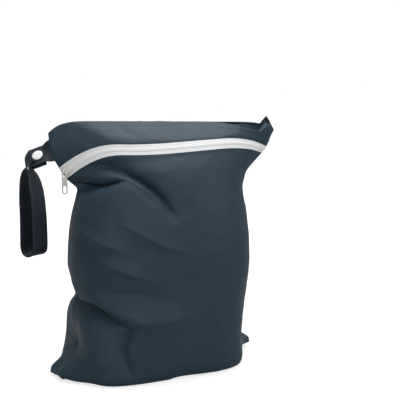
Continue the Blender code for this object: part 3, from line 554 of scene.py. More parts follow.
def tone_between(tree, shader, mask, dark, light):
    """Colours the piece between two tones by a mask."""
    tone = add_node(tree, "Mix")
    tone.data_type = "RGBA"
    tone.inputs["A"].default_value = (*dark, 1)
    tone.inputs["B"].default_value = (*light, 1)
    tree.links.new(mask, tone.inputs["Factor"])
    tree.links.new(tone.outputs["Result"], shader.inputs["Base Color"])


def rough_between(tree, shader, mask, low, high, **limits):
    """Makes the piece more or less rough by a mask, which may have limits of its own."""
    rough = add_node(tree, "MapRange", To_Min=low, To_Max=high, **limits)
    tree.links.new(mask, rough.inputs["Value"])
    tree.links.new(rough.outputs["Result"], shader.inputs["Roughness"])


def bump_by(tree, height, strength, distance):
    """A bump of a height that varies over the piece."""
    bump = add_node(tree, "Bump", Strength=strength, Distance=distance)
    tree.links.new(height, bump.inputs["Height"])
    return bump


def weave_group():
    """Fine plain weave from the cloth's own UVs: a height, and a slow mottle for colour and gloss."""
    group = bpy.data.node_groups.new("fine_weave", "ShaderNodeTree")
    group.interface.new_socket("Threads", in_out="INPUT", socket_type="NodeSocketFloat")
    group.interface.new_socket("Height", in_out="OUTPUT", socket_type="NodeSocketFloat")
    group.interface.new_socket("Mottle", in_out="OUTPUT", socket_type="NodeSocketFloat")
    entry = group.nodes.new("NodeGroupInput")
    leave = group.nodes.new("NodeGroupOutput")
    on_cloth = add_node(group, "UVMap").outputs["UV"]
    both = add_node(group, "Math")
    both.operation = "MULTIPLY"
    for k, direction in enumerate(("X", "Y")):
        wave = add_node(group, "TexWave", Distortion=0.6, Detail_Scale=2.0)
        wave.bands_direction = direction
        group.links.new(on_cloth, wave.inputs["Vector"])
        group.links.new(entry.outputs["Threads"], wave.inputs["Scale"])
        group.links.new(wave.outputs["Fac"], both.inputs[k])
    group.links.new(both.outputs[0], leave.inputs["Height"])
    group.links.new(noise_on(group, on_cloth, Scale=22.0, Detail=4.0), leave.inputs["Mottle"])
    return group


FINE_WEAVE = weave_group()


def woven(tree, threads):
    """The fine weave in a material, with its number of threads."""
    weave = tree.nodes.new("ShaderNodeGroup")
    weave.node_tree = FINE_WEAVE
    weave.inputs["Threads"].default_value = threads
    return weave


def coated_cloth(name, dark, light, roughness):
    """Satin laminated cloth: a fine weave, slow changes of tone and gloss, and small soft crumples."""
    made, tree, shader = new_material(name, dark, roughness)
    weave = woven(tree, CLOTH_THREADS)
    mottle = weave.outputs["Mottle"]
    tone_between(tree, shader, mottle, dark, light)
    rough_between(tree, shader, mottle, roughness - 0.05, roughness + 0.06, From_Min=0.3, From_Max=0.7)
    crumple = noise_on(tree, own_place(tree), Scale=38.0, Detail=3.0, Roughness=0.4, Distortion=0.8)
    soft = bump_by(tree, crumple, 0.12, 0.0016)
    fine = bump_by(tree, weave.outputs["Height"], 0.18, 0.00012)
    tree.links.new(soft.outputs["Normal"], fine.inputs["Normal"])
    tree.links.new(fine.outputs["Normal"], shader.inputs["Normal"])
    shader.inputs["Specular IOR Level"].default_value = 0.24
    shader.inputs["Sheen Weight"].default_value = 0.03
    shader.inputs["Sheen Roughness"].default_value = 0.45
    return made


def dress(obj, body, slot, finish, *nodes):
    """Gives a piece its material, hides the CAD parts that it stands for and sets what it moves with. Its slot
    is not used.
    """
    obj.data.materials.clear()
    obj.data.materials.append(finish)
    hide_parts(*nodes)
    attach(obj, body)


def make_front():
    shares = edge_shares(0.0, ZIP_BOTTOM, FRONT_ROWS)
    places = even_places(FRONT_COLUMNS)
    outer, out = folded_cloth(shares, places, FRONT, FRONT_FOLDS, FRONT_ENDS, FRONT_SEED)
    outer = spread_out(outer, shares, places, FRONT)
    return closed_wall("front_cloth", outer, outer - out * CLOTH, places, shares, FRONT)


cloth_finish = coated_cloth("slate_cloth", NAVY, NAVY_LIGHT, CLOTH_ROUGHNESS)
front_cloth = make_front()
dress(front_cloth, "bag", "coated_cloth", cloth_finish, "front_panel")

# Back panel: the same laminated cloth in one cut, sewn to the front along both sides and the bottom, and to
# the strip at the top seam. It is drawn tighter than the front, and has only shallow dents.
BACK_ROWS = 190
BACK_COLUMNS = 150
BACK_FOLDS = {
    "high_dent": [
        Fold(0.15, 0.800, -0.0015, 0.018, 0.010, 0.0),
        Fold(0.32, 0.750, -0.0070, 0.020, 0.011, 0.001),
        Fold(0.50, 0.700, 0.0000, 0.016, 0.010, 0.0),
    ],
    "side_dent": [
        Fold(0.60, 0.500, 0.0000, 0.014, 0.012, 0.0),
        Fold(0.73, 0.530, -0.0060, 0.016, 0.014, 0.0),
        Fold(0.90, 0.565, -0.0040, 0.016, 0.014, 0.0),
    ],
    "low_dent": [
        Fold(0.05, 0.430, -0.0045, 0.010, 0.016, 0.001),
        Fold(0.20, 0.415, -0.0055, 0.010, 0.018, 0.002),
        Fold(0.38, 0.395, 0.0000, 0.008, 0.014, 0.0),
    ],
    "slack_under_top": [
        Fold(0.40, 0.900, 0.0000, 0.012, 0.010, 0.0),
        Fold(0.55, 0.870, -0.0030, 0.014, 0.010, 0.0),
        Fold(0.75, 0.865, -0.0035, 0.014, 0.010, 0.0),
        Fold(0.90, 0.890, 0.0000, 0.012, 0.010, 0.0),
    ],
    "long_facet": [
        Fold(0.30, 0.620, 0.0000, 0.018, 0.010, 0.0),
        Fold(0.45, 0.590, 0.0030, 0.022, 0.010, 0.0),
        Fold(0.62, 0.610, 0.0026, 0.020, 0.010, 0.0),
        Fold(0.75, 0.650, 0.0000, 0.016, 0.010, 0.0),
    ],
    "low_facet": [
        Fold(0.45, 0.340, 0.0000, 0.018, 0.010, 0.0),
        Fold(0.60, 0.330, 0.0026, 0.020, 0.010, 0.0),
        Fold(0.80, 0.360, 0.0000, 0.016, 0.010, 0.0),
    ],
}
BACK_ENDS = (-1.0, 1.0)
BACK_SEED = 11

# The top right corner stands up in a tip, from its place across the cloth down to each side.
EAR_LIFT = 0.0122
EAR_PLACE = 0.957
EAR_LEFT = 0.030
EAR_RIGHT = 0.044
EAR_REACH = 0.070
EAR_ROUND = 0.08


def lift_corner(points, shares, places):
    """Raises the top right corner, whose tip stands up above the top seam."""
    across, up = np.meshgrid(places, shares)
    from_tip = np.abs(across - EAR_PLACE) / np.where(across < EAR_PLACE, EAR_LEFT, EAR_RIGHT)
    corner = np.clip(1 + EAR_ROUND - np.sqrt(from_tip**2 + EAR_ROUND**2), 0, 1)
    lifted = points.copy()
    lifted[:, :, 2] += EAR_LIFT * corner * np.clip((up - 1 + EAR_REACH) / EAR_REACH, 0, 1)
    return lifted


def make_back():
    shares = edge_shares(0.0, 1.0, BACK_ROWS)
    places = even_places(BACK_COLUMNS)
    outer, out = folded_cloth(shares, places, BACK, BACK_FOLDS, BACK_ENDS, BACK_SEED)
    outer = lift_corner(outer, shares, places)
    outer = spread_out(outer, shares, places, BACK)
    return closed_wall("back_cloth", outer, outer - out * CLOTH, places, shares, BACK)


back_cloth = make_back()
dress(back_cloth, "bag", "coated_cloth", cloth_finish, "back_panel")

# Strip above the zip: the same cloth, sewn to the upper tape and into the top seam. Its right corner has
# dropped in behind a lip, and the tip of the corner stands up.
STRIP_ROWS = 60
STRIP_FOLDS = {
    "left_crease": [
        Fold(0.03, 1.010, -0.0010, 0.014, 0.008, 0.0),
        Fold(0.110, 0.965, -0.0016, 0.018, 0.007, 0.0),
        Fold(0.155, 0.930, -0.0014, 0.018, 0.007, 0.0),
        Fold(0.210, 0.895, 0.0000, 0.014, 0.006, 0.0),
    ],
    "left_crest": [
        Fold(0.10, 1.000, 0.0000, 0.006, 0.006, 0.0),
        Fold(0.17, 0.960, 0.0008, 0.014, 0.008, 0.0),
        Fold(0.24, 0.920, 0.0000, 0.010, 0.006, 0.0),
    ],
    "middle_crease": [
        Fold(0.27, 0.998, 0.0000, 0.008, 0.005, 0.0),
        Fold(0.32, 0.950, -0.0020, 0.012, 0.006, 0.0),
        Fold(0.37, 0.905, 0.0000, 0.010, 0.006, 0.0),
    ],
    "middle_facet": [
        Fold(0.37, 0.925, 0.0000, 0.010, 0.006, 0.0),
        Fold(0.42, 0.958, 0.0022, 0.010, 0.010, 0.0),
        Fold(0.50, 1.000, 0.0000, 0.006, 0.010, 0.0),
    ],
    "right_lip": [
        Fold(0.69, 1.000, 0.0000, 0.003, 0.010, 0.0),
        Fold(0.76, 0.985, 0.0026, 0.003, 0.014, 0.0),
        Fold(0.83, 0.958, 0.0042, 0.003, 0.014, 0.0),
        Fold(0.90, 0.954, 0.0046, 0.003, 0.012, 0.0),
        Fold(0.97, 0.970, 0.0030, 0.003, 0.010, 0.0),
    ],
    "drop_behind_lip": [
        Fold(0.70, 1.010, -0.0010, 0.006, 0.003, 0.0),
        Fold(0.78, 0.990, -0.0046, 0.009, 0.003, 0.0),
        Fold(0.85, 0.970, -0.0060, 0.010, 0.003, 0.0),
        Fold(0.92, 0.972, -0.0060, 0.010, 0.003, 0.0),
        Fold(0.99, 1.000, -0.0010, 0.008, 0.003, 0.0),
    ],
}
STRIP_ENDS = (ZIP_TOP, 1.05)
STRIP_SEED = 7


def make_strip():
    shares = edge_shares(ZIP_TOP, 1.0, STRIP_ROWS)
    places = even_places(FRONT_COLUMNS)
    outer, out = folded_cloth(shares, places, FRONT, STRIP_FOLDS, STRIP_ENDS, STRIP_SEED)
    outer = lift_corner(outer, shares, places)
    return closed_wall("strip_cloth", outer, outer - out * CLOTH, places, shares, FRONT)


strip_cloth = make_strip()
dress(strip_cloth, "bag", "coated_cloth", cloth_finish, "top_strip")

# Zip tapes: two lengths of white woven polyester tape, one sewn to each side of the opening, with the outer
# edge under the fold of the cloth. The inner edges carry the coil.
COIL_WIDTH = 0.0050
TAPE_THICK = 0.0009
TAPE_RIB = 0.00009
TAPE_RIBS = 6
TAPE_RIB_FADE = 8
TAPE_COLUMNS = 300
TAPE_ROWS = 37
TAPE_THREADS = 520.0
COIL_HALF = COIL_WIDTH / 2 / FLAT_HEIGHT
GAP_SHARE = GAP / FLAT_HEIGHT
WHITE = (0.74, 0.75, 0.76)
# A greyer white: painted shade in the tape's weave hollows, and the darker end of the nylon's random
# cloudiness.
WHITE_SHADE_AND_CLOUD = (0.68, 0.69, 0.70)


def tape_wall(name, start, end, rows, thickness, swell):
    """A band along the zip. Swell gives the height out of its face, at places across it from 0 to 1."""
    shares = np.linspace(start, end, rows)
    places = even_places(TAPE_COLUMNS)
    points = cloth_points(shares, places, FRONT)[0]
    out = surface_directions(points, FRONT)[2]
    outer = points + out * swell(np.linspace(0, 1, rows))[:, None, None]
    return closed_wall(name, outer, points - out * thickness, places, shares, FRONT)


def ribbed(t):
    ribs = np.abs(np.sin(TAPE_RIBS * math.pi * t))
    return TAPE_RIB * ribs * np.clip(np.minimum(t, 1 - t) * TAPE_RIB_FADE, 0, 1)


def tape_material():
    """White polyester tape: painted shade that greys the weave's hollows, and a matt face."""
    made, tree, shader = new_material("white_tape", WHITE, 0.75)
    height = woven(tree, TAPE_THREADS).outputs["Height"]
    # Painted shade: the weave's hollows are coloured greyer than its threads.
    tone_between(tree, shader, height, WHITE_SHADE_AND_CLOUD, WHITE)
    tree.links.new(bump_by(tree, height, 0.3, 0.0002).outputs["Normal"], shader.inputs["Normal"])
    shader.inputs["Sheen Weight"].default_value = 0.2
    return made


tape_finish = tape_material()
lower_ends = (ZIP_BOTTOM + GAP_SHARE, ZIP_MIDDLE - COIL_HALF)
upper_ends = (ZIP_MIDDLE + COIL_HALF, ZIP_TOP - GAP_SHARE)
lower_tape = tape_wall("lower_tape", *lower_ends, TAPE_ROWS, TAPE_THICK, ribbed)
dress(lower_tape, "bag", "zip_tape", tape_finish, "zip_tape_lower")
upper_tape = tape_wall("upper_tape", *upper_ends, TAPE_ROWS, TAPE_THICK, ribbed)
dress(upper_tape, "bag", "zip_tape", tape_finish, "zip_tape_upper")

# Coil: two rows of moulded nylon loops that lock in the middle of the zip. They are sewn to the tapes' inner
# edges, on a woven bed of the same white.
COIL_THICK = 0.0019
COIL_ROWS = 15
COIL_UNDER = 0.7
TOOTH_EVERY = 0.0013
TOOTH_LENGTH = 0.0030
TOOTH_WIDE = 0.00056
TOOTH_HIGH = 0.00042
TOOTH_SIDES = 8
TOOTH_SEAT = 0.3
TOOTH_FOOT = 0.72
TEETH_FROM_SEAM = 0.004
ZIP_STEP = 0.004
BED_RISE = 0.8
BED_ROUND = 0.5

# Place along a tooth and girth there, as shares of its length and of its half sizes.
TOOTH_RINGS = ((0.0, 0.30), (0.10, 0.85), (0.30, 1.0), (0.62, 1.0), (0.86, 1.15), (0.97, 0.8), (1.0, 0.3))


def nylon_material():
    """White nylon: half gloss, with a faint cloudiness."""
    made, tree, shader = new_material("white_nylon", WHITE, 0.5)
    cloud = noise_on(tree, own_place(tree), Scale=260.0, Detail=4.0)
    tone_between(tree, shader, cloud, WHITE_SHADE_AND_CLOUD, (0.78, 0.79, 0.80))
    rough_between(tree, shader, cloud, 0.32, 0.46)
    return made


def joined_copies(name, points, faces, frames):
    """One mesh of many copies of a small closed shape, each placed by an origin and three axes."""
    placed = [origin + points @ np.array(axes) for origin, axes in frames]
    mesh = bpy.data.meshes.new(name)
    count = len(points)
    corners = [tuple(index + count * k for index in face) for k in range(len(frames)) for face in faces]
    mesh.from_pydata(np.concatenate(placed).tolist(), [], corners)
    mesh.update()
    mesh.shade_smooth()
    return add_object(name, mesh)


def capsule(rings, sides, length, wide, high):
    """A small closed bar along X from rings of place and girth, as shares of its length and half sizes."""
    points = []
    for place, girth in rings:
        for k in range(sides):
            angle = 2 * math.pi * k / sides
            points.append((place * length, girth * wide * math.cos(angle), girth * high * math.sin(angle)))
    faces = []
    for i in range(len(rings) - 1):
        for k in range(sides):
            beside = (k + 1) % sides
            faces.append((i * sides + k, (i + 1) * sides + k, (i + 1) * sides + beside, i * sides + beside))
    last = (len(rings) - 1) * sides
    faces.append(tuple(range(sides)))
    faces.append(tuple(last + k for k in reversed(range(sides))))
    return np.array(points), faces


def along_zip(share, spacing, margin):
    """Points evenly spaced along one line of the zip, with the directions along it, up the cloth and out."""
    near = [level_curve(share + step, FRONT) for step in (-ZIP_STEP, 0.0, ZIP_STEP)]
    runs = [run_of(curve) for curve in near]
    length = runs[1][-1]
    count = int((length - 2 * margin) / spacing) + 1
    places = (margin + spacing * np.arange(count)) / length
    low, middle, high = [points_along(curve, run, places * run[-1]) for curve, run in zip(near, runs)]
    along = unit(np.gradient(middle, axis=0))
    out = unit(np.cross(along, high - low))
    return middle, along, unit(np.cross(out, along)), out


def make_teeth():
    """Teeth of both rows: the loops of the upper row sit midway between those of the lower one."""
    points, faces = capsule(TOOTH_RINGS, TOOTH_SIDES, TOOTH_LENGTH, TOOTH_WIDE, TOOTH_HIGH)
    places, along, up, out = along_zip(ZIP_MIDDLE, TOOTH_EVERY / 2, TEETH_FROM_SEAM)
    seat = (COIL_THICK - TAPE_THICK) / 2 * TOOTH_SEAT
    frames = []
    for k in range(len(places)):
        side = 1 if k % 2 else -1
        foot = places[k] - side * up[k] * TOOTH_LENGTH * TOOTH_FOOT + out[k] * seat
        frames.append((foot, (side * up[k], -side * along[k], out[k])))
    return joined_copies("coil_teeth", points, faces, frames)


def coil_bed(t):
    return (COIL_THICK - TAPE_THICK) / 2 * BED_RISE * np.sin(math.pi * t) ** BED_ROUND


nylon = nylon_material()
coil_ends = (ZIP_MIDDLE - COIL_HALF, ZIP_MIDDLE + COIL_HALF)
coil_band = tape_wall("coil_band", *coil_ends, COIL_ROWS, COIL_THICK * COIL_UNDER, coil_bed)
dress(coil_band, "bag", "zip_coil", tape_finish, "zip_coil")
teeth = make_teeth()
dress(teeth, "bag", "zip_coil", nylon)

# Slider: cast zinc with nickel plating. Two shield-shaped plates are joined by a post at the wide end, low
# guides keep the coil in, and a bail on top holds the tab.
SLIDER_FROM_SEAM = 0.0094
SLIDER_LENGTH = 0.0120
SLIDER_WIDTH = 0.0086
SLIDER_TAIL = 0.0064
SLIDER_PLATE = 0.0013
SLIDER_SHOULDER = 0.10
SLIDER_NOSE = 0.30
SLIDER_TIP = 0.55
SLIDER_CLEAR = 0.0006
SLIDER_EDGE = 0.00045
TAIL_ROUND = 0.0009
SHOULDER_ROUND = 0.0030
CHEEK_ROUND = 0.0016
NOSE_ROUND = 0.0012
POST_SIZE = 0.0022
POST_EDGE = 0.0003
GUIDE_LOW = 0.0005
GUIDE_HIGH = 0.0005
GUIDE_THICK = 0.0008
GUIDE_FROM_SIDE = 0.0004
GUIDE_FROM_CHEEK = 0.0008
GUIDE_FROM_SHOULDER = 0.0002
GUIDE_EDGE = 0.0002
BAIL_WIRE = 0.0011
BAIL_SPAN = 0.0066
BAIL_RISE = 0.0036
BAIL_AHEAD = 0.0030
BAIL_STEPS = 12
MERGE_DISTANCE = 0.00001
PLATE_SHARP = 40
WIRE_SHARP = 50
SILVER = (0.84, 0.83, 0.80)
SILVER_DULL = (0.76, 0.75, 0.72)
SILVER_BRIGHT = (0.88, 0.87, 0.84)


def metal_material():
    """Bright nickel plating: nearly even, a little duller in fine uneven spots."""
    made, tree, shader = new_material("nickel_plating", SILVER, 0.40, 0.7)
    spots = noise_on(tree, own_place(tree), Scale=700.0, Detail=3.0)
    rough_between(tree, shader, spots, 0.34, 0.48)
    tone_between(tree, shader, spots, SILVER_DULL, SILVER_BRIGHT)
    return made


def zip_frame():
    """Place on the coil under the slider, with the directions along the zip, across it and outwards."""
    curves = [level_curve(share, FRONT) for share in (ZIP_BOTTOM, ZIP_MIDDLE, ZIP_TOP)]
    half = SLIDER_LENGTH / 2
    low, middle, high = [
        [Vector(points_along(curve, run_of(curve), SLIDER_FROM_SEAM + step)) for step in (-half, 0.0, half)]
        for curve in curves
    ]
    along = (middle[2] - middle[0]).normalized()
    outward = along.cross(high[1] - low[1]).normalized()
    return middle[1], along, outward.cross(along), outward


def placed_by(place, x_axis, y_axis, z_axis):
    return Matrix.Translation(place) @ Matrix((x_axis, y_axis, z_axis)).transposed().to_4x4()


def tidy_form(sharp):
    """Closes the seams of the active form, points its faces outwards and shades it smooth."""
    bpy.ops.object.mode_set(mode="EDIT")
    bpy.ops.mesh.select_all(action="SELECT")
    bpy.ops.mesh.remove_doubles(threshold=MERGE_DISTANCE)
    bpy.ops.mesh.normals_make_consistent(inside=False)
    bpy.ops.object.mode_set(mode="OBJECT")
    bpy.ops.object.shade_smooth_by_angle(angle=math.radians(sharp))


def flat_piece(name, outlines, thickness, edge, matrix):
    """A plate with rounded edges from flat closed outlines, the first its rim and the others its holes."""
    curve = bpy.data.curves.new(name, "CURVE")
    curve.dimensions = "2D"
    curve.fill_mode = "BOTH"
    curve.extrude = thickness / 2 - edge
    curve.bevel_depth = edge
    curve.bevel_resolution = 3
    curve.offset = -edge
    for outline in outlines:
        spline = curve.splines.new("POLY")
        spline.points.add(len(outline) - 1)
        spline.points.foreach_set("co", [value for x, y in outline for value in (x, y, 0, 1)])
        spline.use_cyclic_u = True
    add_object(name, curve)
    bpy.ops.object.convert(target="MESH")
    tidy_form(PLATE_SHARP)
    bpy.context.object.data.transform(matrix)
    return bpy.context.object


def rounded(corners, radii, steps=5):
    """A closed outline with its corners rounded off, counter-clockwise. Each corner has its own radius."""
    points = []
    for k, corner in enumerate(corners):
        here = Vector(corner)
        before = (Vector(corners[k - 1]) - here).normalized()
        after = (Vector(corners[(k + 1) % len(corners)]) - here).normalized()
        angle = before.angle(after)
        start = here + before * radii[k] / math.tan(angle / 2)
        end = here + after * radii[k] / math.tan(angle / 2)
        middle = here + (before + after).normalized() * radii[k] / math.sin(angle / 2)
        first = math.atan2(start.y - middle.y, start.x - middle.x)
        turn = math.atan2(end.y - middle.y, end.x - middle.x) - first
        turn = (turn + math.pi) % (2 * math.pi) - math.pi
        for step in range(steps + 1):
            at = first + turn * step / steps
            points.append((middle.x + radii[k] * math.cos(at), middle.y + radii[k] * math.sin(at)))
    return points


def wire(name, path, thickness):
    """A bent wire of even thickness with closed ends."""
    curve = bpy.data.curves.new(name, "CURVE")
    curve.dimensions = "3D"
    curve.bevel_depth = thickness / 2
    curve.bevel_resolution = 3
    curve.use_fill_caps = True
    spline = curve.splines.new("NURBS")
    spline.points.add(len(path) - 1)
    spline.points.foreach_set("co", [value for place in path for value in (*place, 1)])
    spline.use_endpoint_u = True
    spline.order_u = 3
    spline.resolution_u = 4
    add_object(name, curve)
    bpy.ops.object.convert(target="MESH")
    bpy.ops.object.shade_smooth_by_angle(angle=math.radians(WIRE_SHARP))
    return bpy.context.object


def block(name, low, high, edge, matrix):
    """A small cast block with rounded edges."""
    bpy.ops.mesh.primitive_cube_add(size=1)
    obj = bpy.context.object
    obj.name = name
    size = [b - a for a, b in zip(low, high)]
    centre = [(a + b) / 2 for a, b in zip(low, high)]
    obj.data.transform(Matrix.Translation(centre) @ Matrix.Diagonal((*size, 1)))
    bevel = obj.modifiers.new("edge", "BEVEL")
    bevel.width = edge
    bevel.segments = 3
    bpy.ops.object.modifier_apply(modifier="edge")
    bpy.ops.object.shade_smooth_by_angle(angle=math.radians(PLATE_SHARP))
    obj.data.transform(matrix)
    return obj


def join(name, parts):
    bpy.ops.object.select_all(action="DESELECT")
    for part in parts:
        part.select_set(True)
    bpy.context.view_layer.objects.active = parts[0]
    bpy.ops.object.join()
    parts[0].name = name
    return parts[0]


def make_slider():
    centre, along, across, outward = zip_frame()
    place = placed_by(centre - outward * TAPE_THICK / 2, along, across, outward)
    nose = -SLIDER_LENGTH / 2
    tail = SLIDER_LENGTH / 2
    shoulder = SLIDER_LENGTH * SLIDER_SHOULDER
    cheek = -SLIDER_LENGTH * SLIDER_NOSE
    wide = SLIDER_WIDTH / 2
    one_side = [(tail, SLIDER_TAIL / 2), (shoulder, wide), (cheek, wide), (nose, wide * SLIDER_TIP)]
    other_side = [(x, -y) for x, y in reversed(one_side)]
    radii = [TAIL_ROUND, SHOULDER_ROUND, CHEEK_ROUND, NOSE_ROUND]
    outline = rounded(one_side + other_side, radii + radii[::-1])
    clear = COIL_THICK / 2 + SLIDER_CLEAR
    middle = clear + SLIDER_PLATE / 2
    parts = []
    for name, height in (("outer_plate", middle), ("inner_plate", -middle)):
        lifted = place @ Matrix.Translation((0, 0, height))
        parts.append(flat_piece(name, [outline], SLIDER_PLATE, SLIDER_EDGE, lifted))
    post = POST_SIZE / 2
    low = (nose + POST_SIZE - post, -post, -middle)
    high = (nose + POST_SIZE + post, post, middle)
    parts.append(block("post", low, high, POST_EDGE, place))
    for side in (-1, 1):
        inner, outer = sorted(side * (wide - GUIDE_FROM_SIDE - thick) for thick in (GUIDE_THICK, 0.0))
        low = (cheek + GUIDE_FROM_CHEEK, inner, clear - GUIDE_LOW)
        high = (shoulder - GUIDE_FROM_SHOULDER, outer, clear + GUIDE_HIGH)
        parts.append(block("guide", low, high, GUIDE_EDGE, place))
    hinge = (along - Vector((0, 0, 1)) * along.z).normalized()
    rise = (outward - hinge * outward.dot(hinge)).normalized()
    legs = rise.cross(hinge).normalized() * BAIL_SPAN / 2
    foot = place @ Vector((-BAIL_AHEAD, 0, clear + SLIDER_PLATE))
    sunk = outward * SLIDER_PLATE / 2
    path = [foot + legs - sunk]
    for k in range(BAIL_STEPS + 1):
        angle = math.pi * k / BAIL_STEPS
        path.append(foot + legs * math.cos(angle) + rise * math.sin(angle) * BAIL_RISE)
    path.append(foot - legs - sunk)
    parts.append(wire("bail", path, BAIL_WIRE))
    return join("slider", parts), foot + rise * (BAIL_RISE - BAIL_WIRE / 2) / 2, hinge


nickel = metal_material()
slider, pivot, hinge = make_slider()
dress(slider, "bag", "plated_metal", nickel, "zip_slider")

# Pull tab: a flat stamped tab with the slider's plating, that hangs straight down from the bail by its
# square eye. Its foot is round, with a long oval hole and a thin rim round it.
PULL_LENGTH = 0.0265
PULL_WIDTH = 0.0068
PULL_THICK = 0.0014
PULL_BAR = 0.0015
PULL_RIM = 0.0013
PULL_CORNER = 0.0012
PULL_EYE = 0.0052
PULL_EYE_ROUND = 0.0008
PULL_FOOT = 0.0030
PULL_SLOT_WIDTH = 0.0044
PULL_SLOT_LENGTH = 0.0088
PULL_SLOT_FOOT = 0.0011
PULL_SLOT_ROUND = 0.96
PULL_EDGE = 0.00028


def upright_outline(half, low, high, foot_round, top_round, steps):
    """A rounded upright oblong from its half width and its two heights."""
    corners = [(-half, low), (half, low), (half, high), (-half, high)]
    return rounded(corners, [foot_round, foot_round, top_round, top_round], steps)


def make_pull():
    top = PULL_BAR / 2
    foot = top - PULL_LENGTH
    rim = upright_outline(PULL_WIDTH / 2, foot, top, PULL_FOOT, PULL_CORNER, 8)
    eye_top = top - PULL_BAR
    eye_half = PULL_WIDTH / 2 - PULL_RIM
    eye = upright_outline(eye_half, eye_top - PULL_EYE, eye_top, PULL_EYE_ROUND, PULL_EYE_ROUND, 5)
    low = foot + PULL_SLOT_FOOT
    end_round = PULL_SLOT_WIDTH / 2 * PULL_SLOT_ROUND
    slot = upright_outline(PULL_SLOT_WIDTH / 2, low, low + PULL_SLOT_LENGTH, end_round, end_round, 10)
    face = hinge.cross(Vector((0, 0, 1))).normalized()
    matrix = placed_by(pivot, hinge, Vector((0, 0, 1)), face)
    return flat_piece("pull_tab", [rim, eye, slot], PULL_THICK, PULL_EDGE, matrix)


pull_tab = make_pull()
dress(pull_tab, "pull", "plated_metal", nickel, "zip_pull")

# Strap: a band of dark cloth, coloured darker and less blue than the bag's cloth as painted shade, folded in
# along both sides and stitched. Its end is sewn in the left side seam, and it hangs in a loop that goes down
# and back up under its snap.
STRAP_WIDTH = 0.025
STRAP_THICK = 0.0016
STRAP_DROP = 0.118
STRAP_FROM_TOP = 0.021
STRAP_TUCK = 0.0040
SNAP_CAP = 0.0124
SNAP_CAP_RISE = 0.0017
SNAP_CAP_MARGIN = 0.0005
SNAP_POST = 0.0032
SNAP_STUD = 0.0080
SNAP_BETWEEN = 0.0026
SNAP_FROM_SEAM = 0.0150
SNAP_FLAT_END = 1.25
SNAP_HEADING = 91.0
SNAP_LIFT = 45.6
SNAP_OUTWARDS = (-0.85, 0.35, -0.35)
STRAP_STEPS = 9
STRAP_SIDE_STEPS = 25
STRAP_EDGE_STEPS = 6
STRAP_EDGE_BAND = 0.0032
STRAP_WELT = 0.00022
STRAP_WELT_SOFT = 0.0006
STRAP_SLACK = 0.00010
STRAP_SLACK_EVERY = 0.0041
STRAP_SLACK_ACROSS = 0.006
STRAP_SLACK_TURN = 0.017
STRAP_SHARP = 60
LAYER_DISTANCE = STRAP_THICK + SNAP_BETWEEN + 2 * GAP
# Painted shade: the strap's two tones are the cloth's made darker and less blue, for the strap hanging in
# shadow.
STRAP_SHADED_DARK = (0.010, 0.016, 0.024)
STRAP_SHADED_LIGHT = (0.014, 0.021, 0.030)
STRAP_ROUGHNESS = 0.60

# The loop's places, as shares of STRAP_DROP out, back and down from the root, with the direction of the
# strap's width there, as a heading and a lift in degrees.
Turn = namedtuple("Turn", "out back down heading lift")
STRAP_LOOP = [
    Turn(0.196, 0.094, 0.104, 88.0, 30.0),
    Turn(0.217, 0.103, 0.178, 68.0, 14.0),
    Turn(0.226, 0.085, 0.291, 50.0, 4.0),
    Turn(0.230, 0.059, 0.465, 42.0, 0.0),
    Turn(0.230, 0.037, 0.613, 40.0, 0.0),
    Turn(0.230, 0.033, 0.813, 38.0, 0.0),
    Turn(0.230, 0.033, 0.917, 38.0, 0.0),
    Turn(0.217, 0.013, 0.975, 38.0, 0.0),
    Turn(0.185, -0.035, 0.999, 38.0, 0.0),
    Turn(0.152, -0.083, 0.975, 38.0, 0.0),
    Turn(0.139, -0.103, 0.917, 38.0, 0.0),
    Turn(0.139, -0.103, 0.726, 38.0, 0.0),
    Turn(0.141, -0.097, 0.578, 40.0, 0.0),
    Turn(0.146, -0.063, 0.422, 42.0, 0.0),
    Turn(0.152, -0.002, 0.291, 48.0, 2.0),
    Turn(0.157, 0.059, 0.187, 66.0, 12.0),
    Turn(0.157, 0.094, 0.130, 88.0, 30.0),
]


def strap_root():
    """Place of the strap's root on the left seam, with the seam's direction there."""
    share = 1 - STRAP_FROM_TOP / FLAT_HEIGHT
    half = STRAP_WIDTH / 2 / FLAT_HEIGHT
    low, middle, high = [Vector(level_curve(share + step, FRONT)[0]) for step in (-half, 0.0, half)]
    return middle, (high - low).normalized()


def direction(heading, lift):
    turn = math.radians(heading)
    rise = math.radians(lift)
    return Vector((math.cos(rise) * math.cos(turn), math.cos(rise) * math.sin(turn), math.sin(rise)))


def snap_frame():
    """Centre of the snap in the strap's outer layer, with directions away from the bag, across and out."""
    away = Vector(SNAP_OUTWARDS).normalized()
    outward = direction(SNAP_HEADING, SNAP_LIFT).cross(away).normalized()
    return strap_root()[0] + away * SNAP_FROM_SEAM, away, away.cross(outward).normalized(), outward


def strap_rows():
    """Centre line of the strap with the direction of its width, from the root round to the loose end."""
    root, seam = strap_root()
    centre, away, width, outward = snap_frame()
    flat = SNAP_CAP / 2 + SNAP_CAP_MARGIN
    rows = [(root - away * STRAP_TUCK, seam)]
    rows += [(centre + away * flat * k, width) for k in (-SNAP_FLAT_END, -1.0, 0.0, 1.0, SNAP_FLAT_END)]
    for turn in STRAP_LOOP:
        offset = Vector((-turn.out, turn.back, -turn.down)) * STRAP_DROP
        rows.append((root + offset, direction(turn.heading, turn.lift)))
    under = centre - outward * LAYER_DISTANCE
    rows += [(under + away * flat * k, width) for k in (SNAP_FLAT_END, 1.0, 0.0, -1.0)]
    return rows


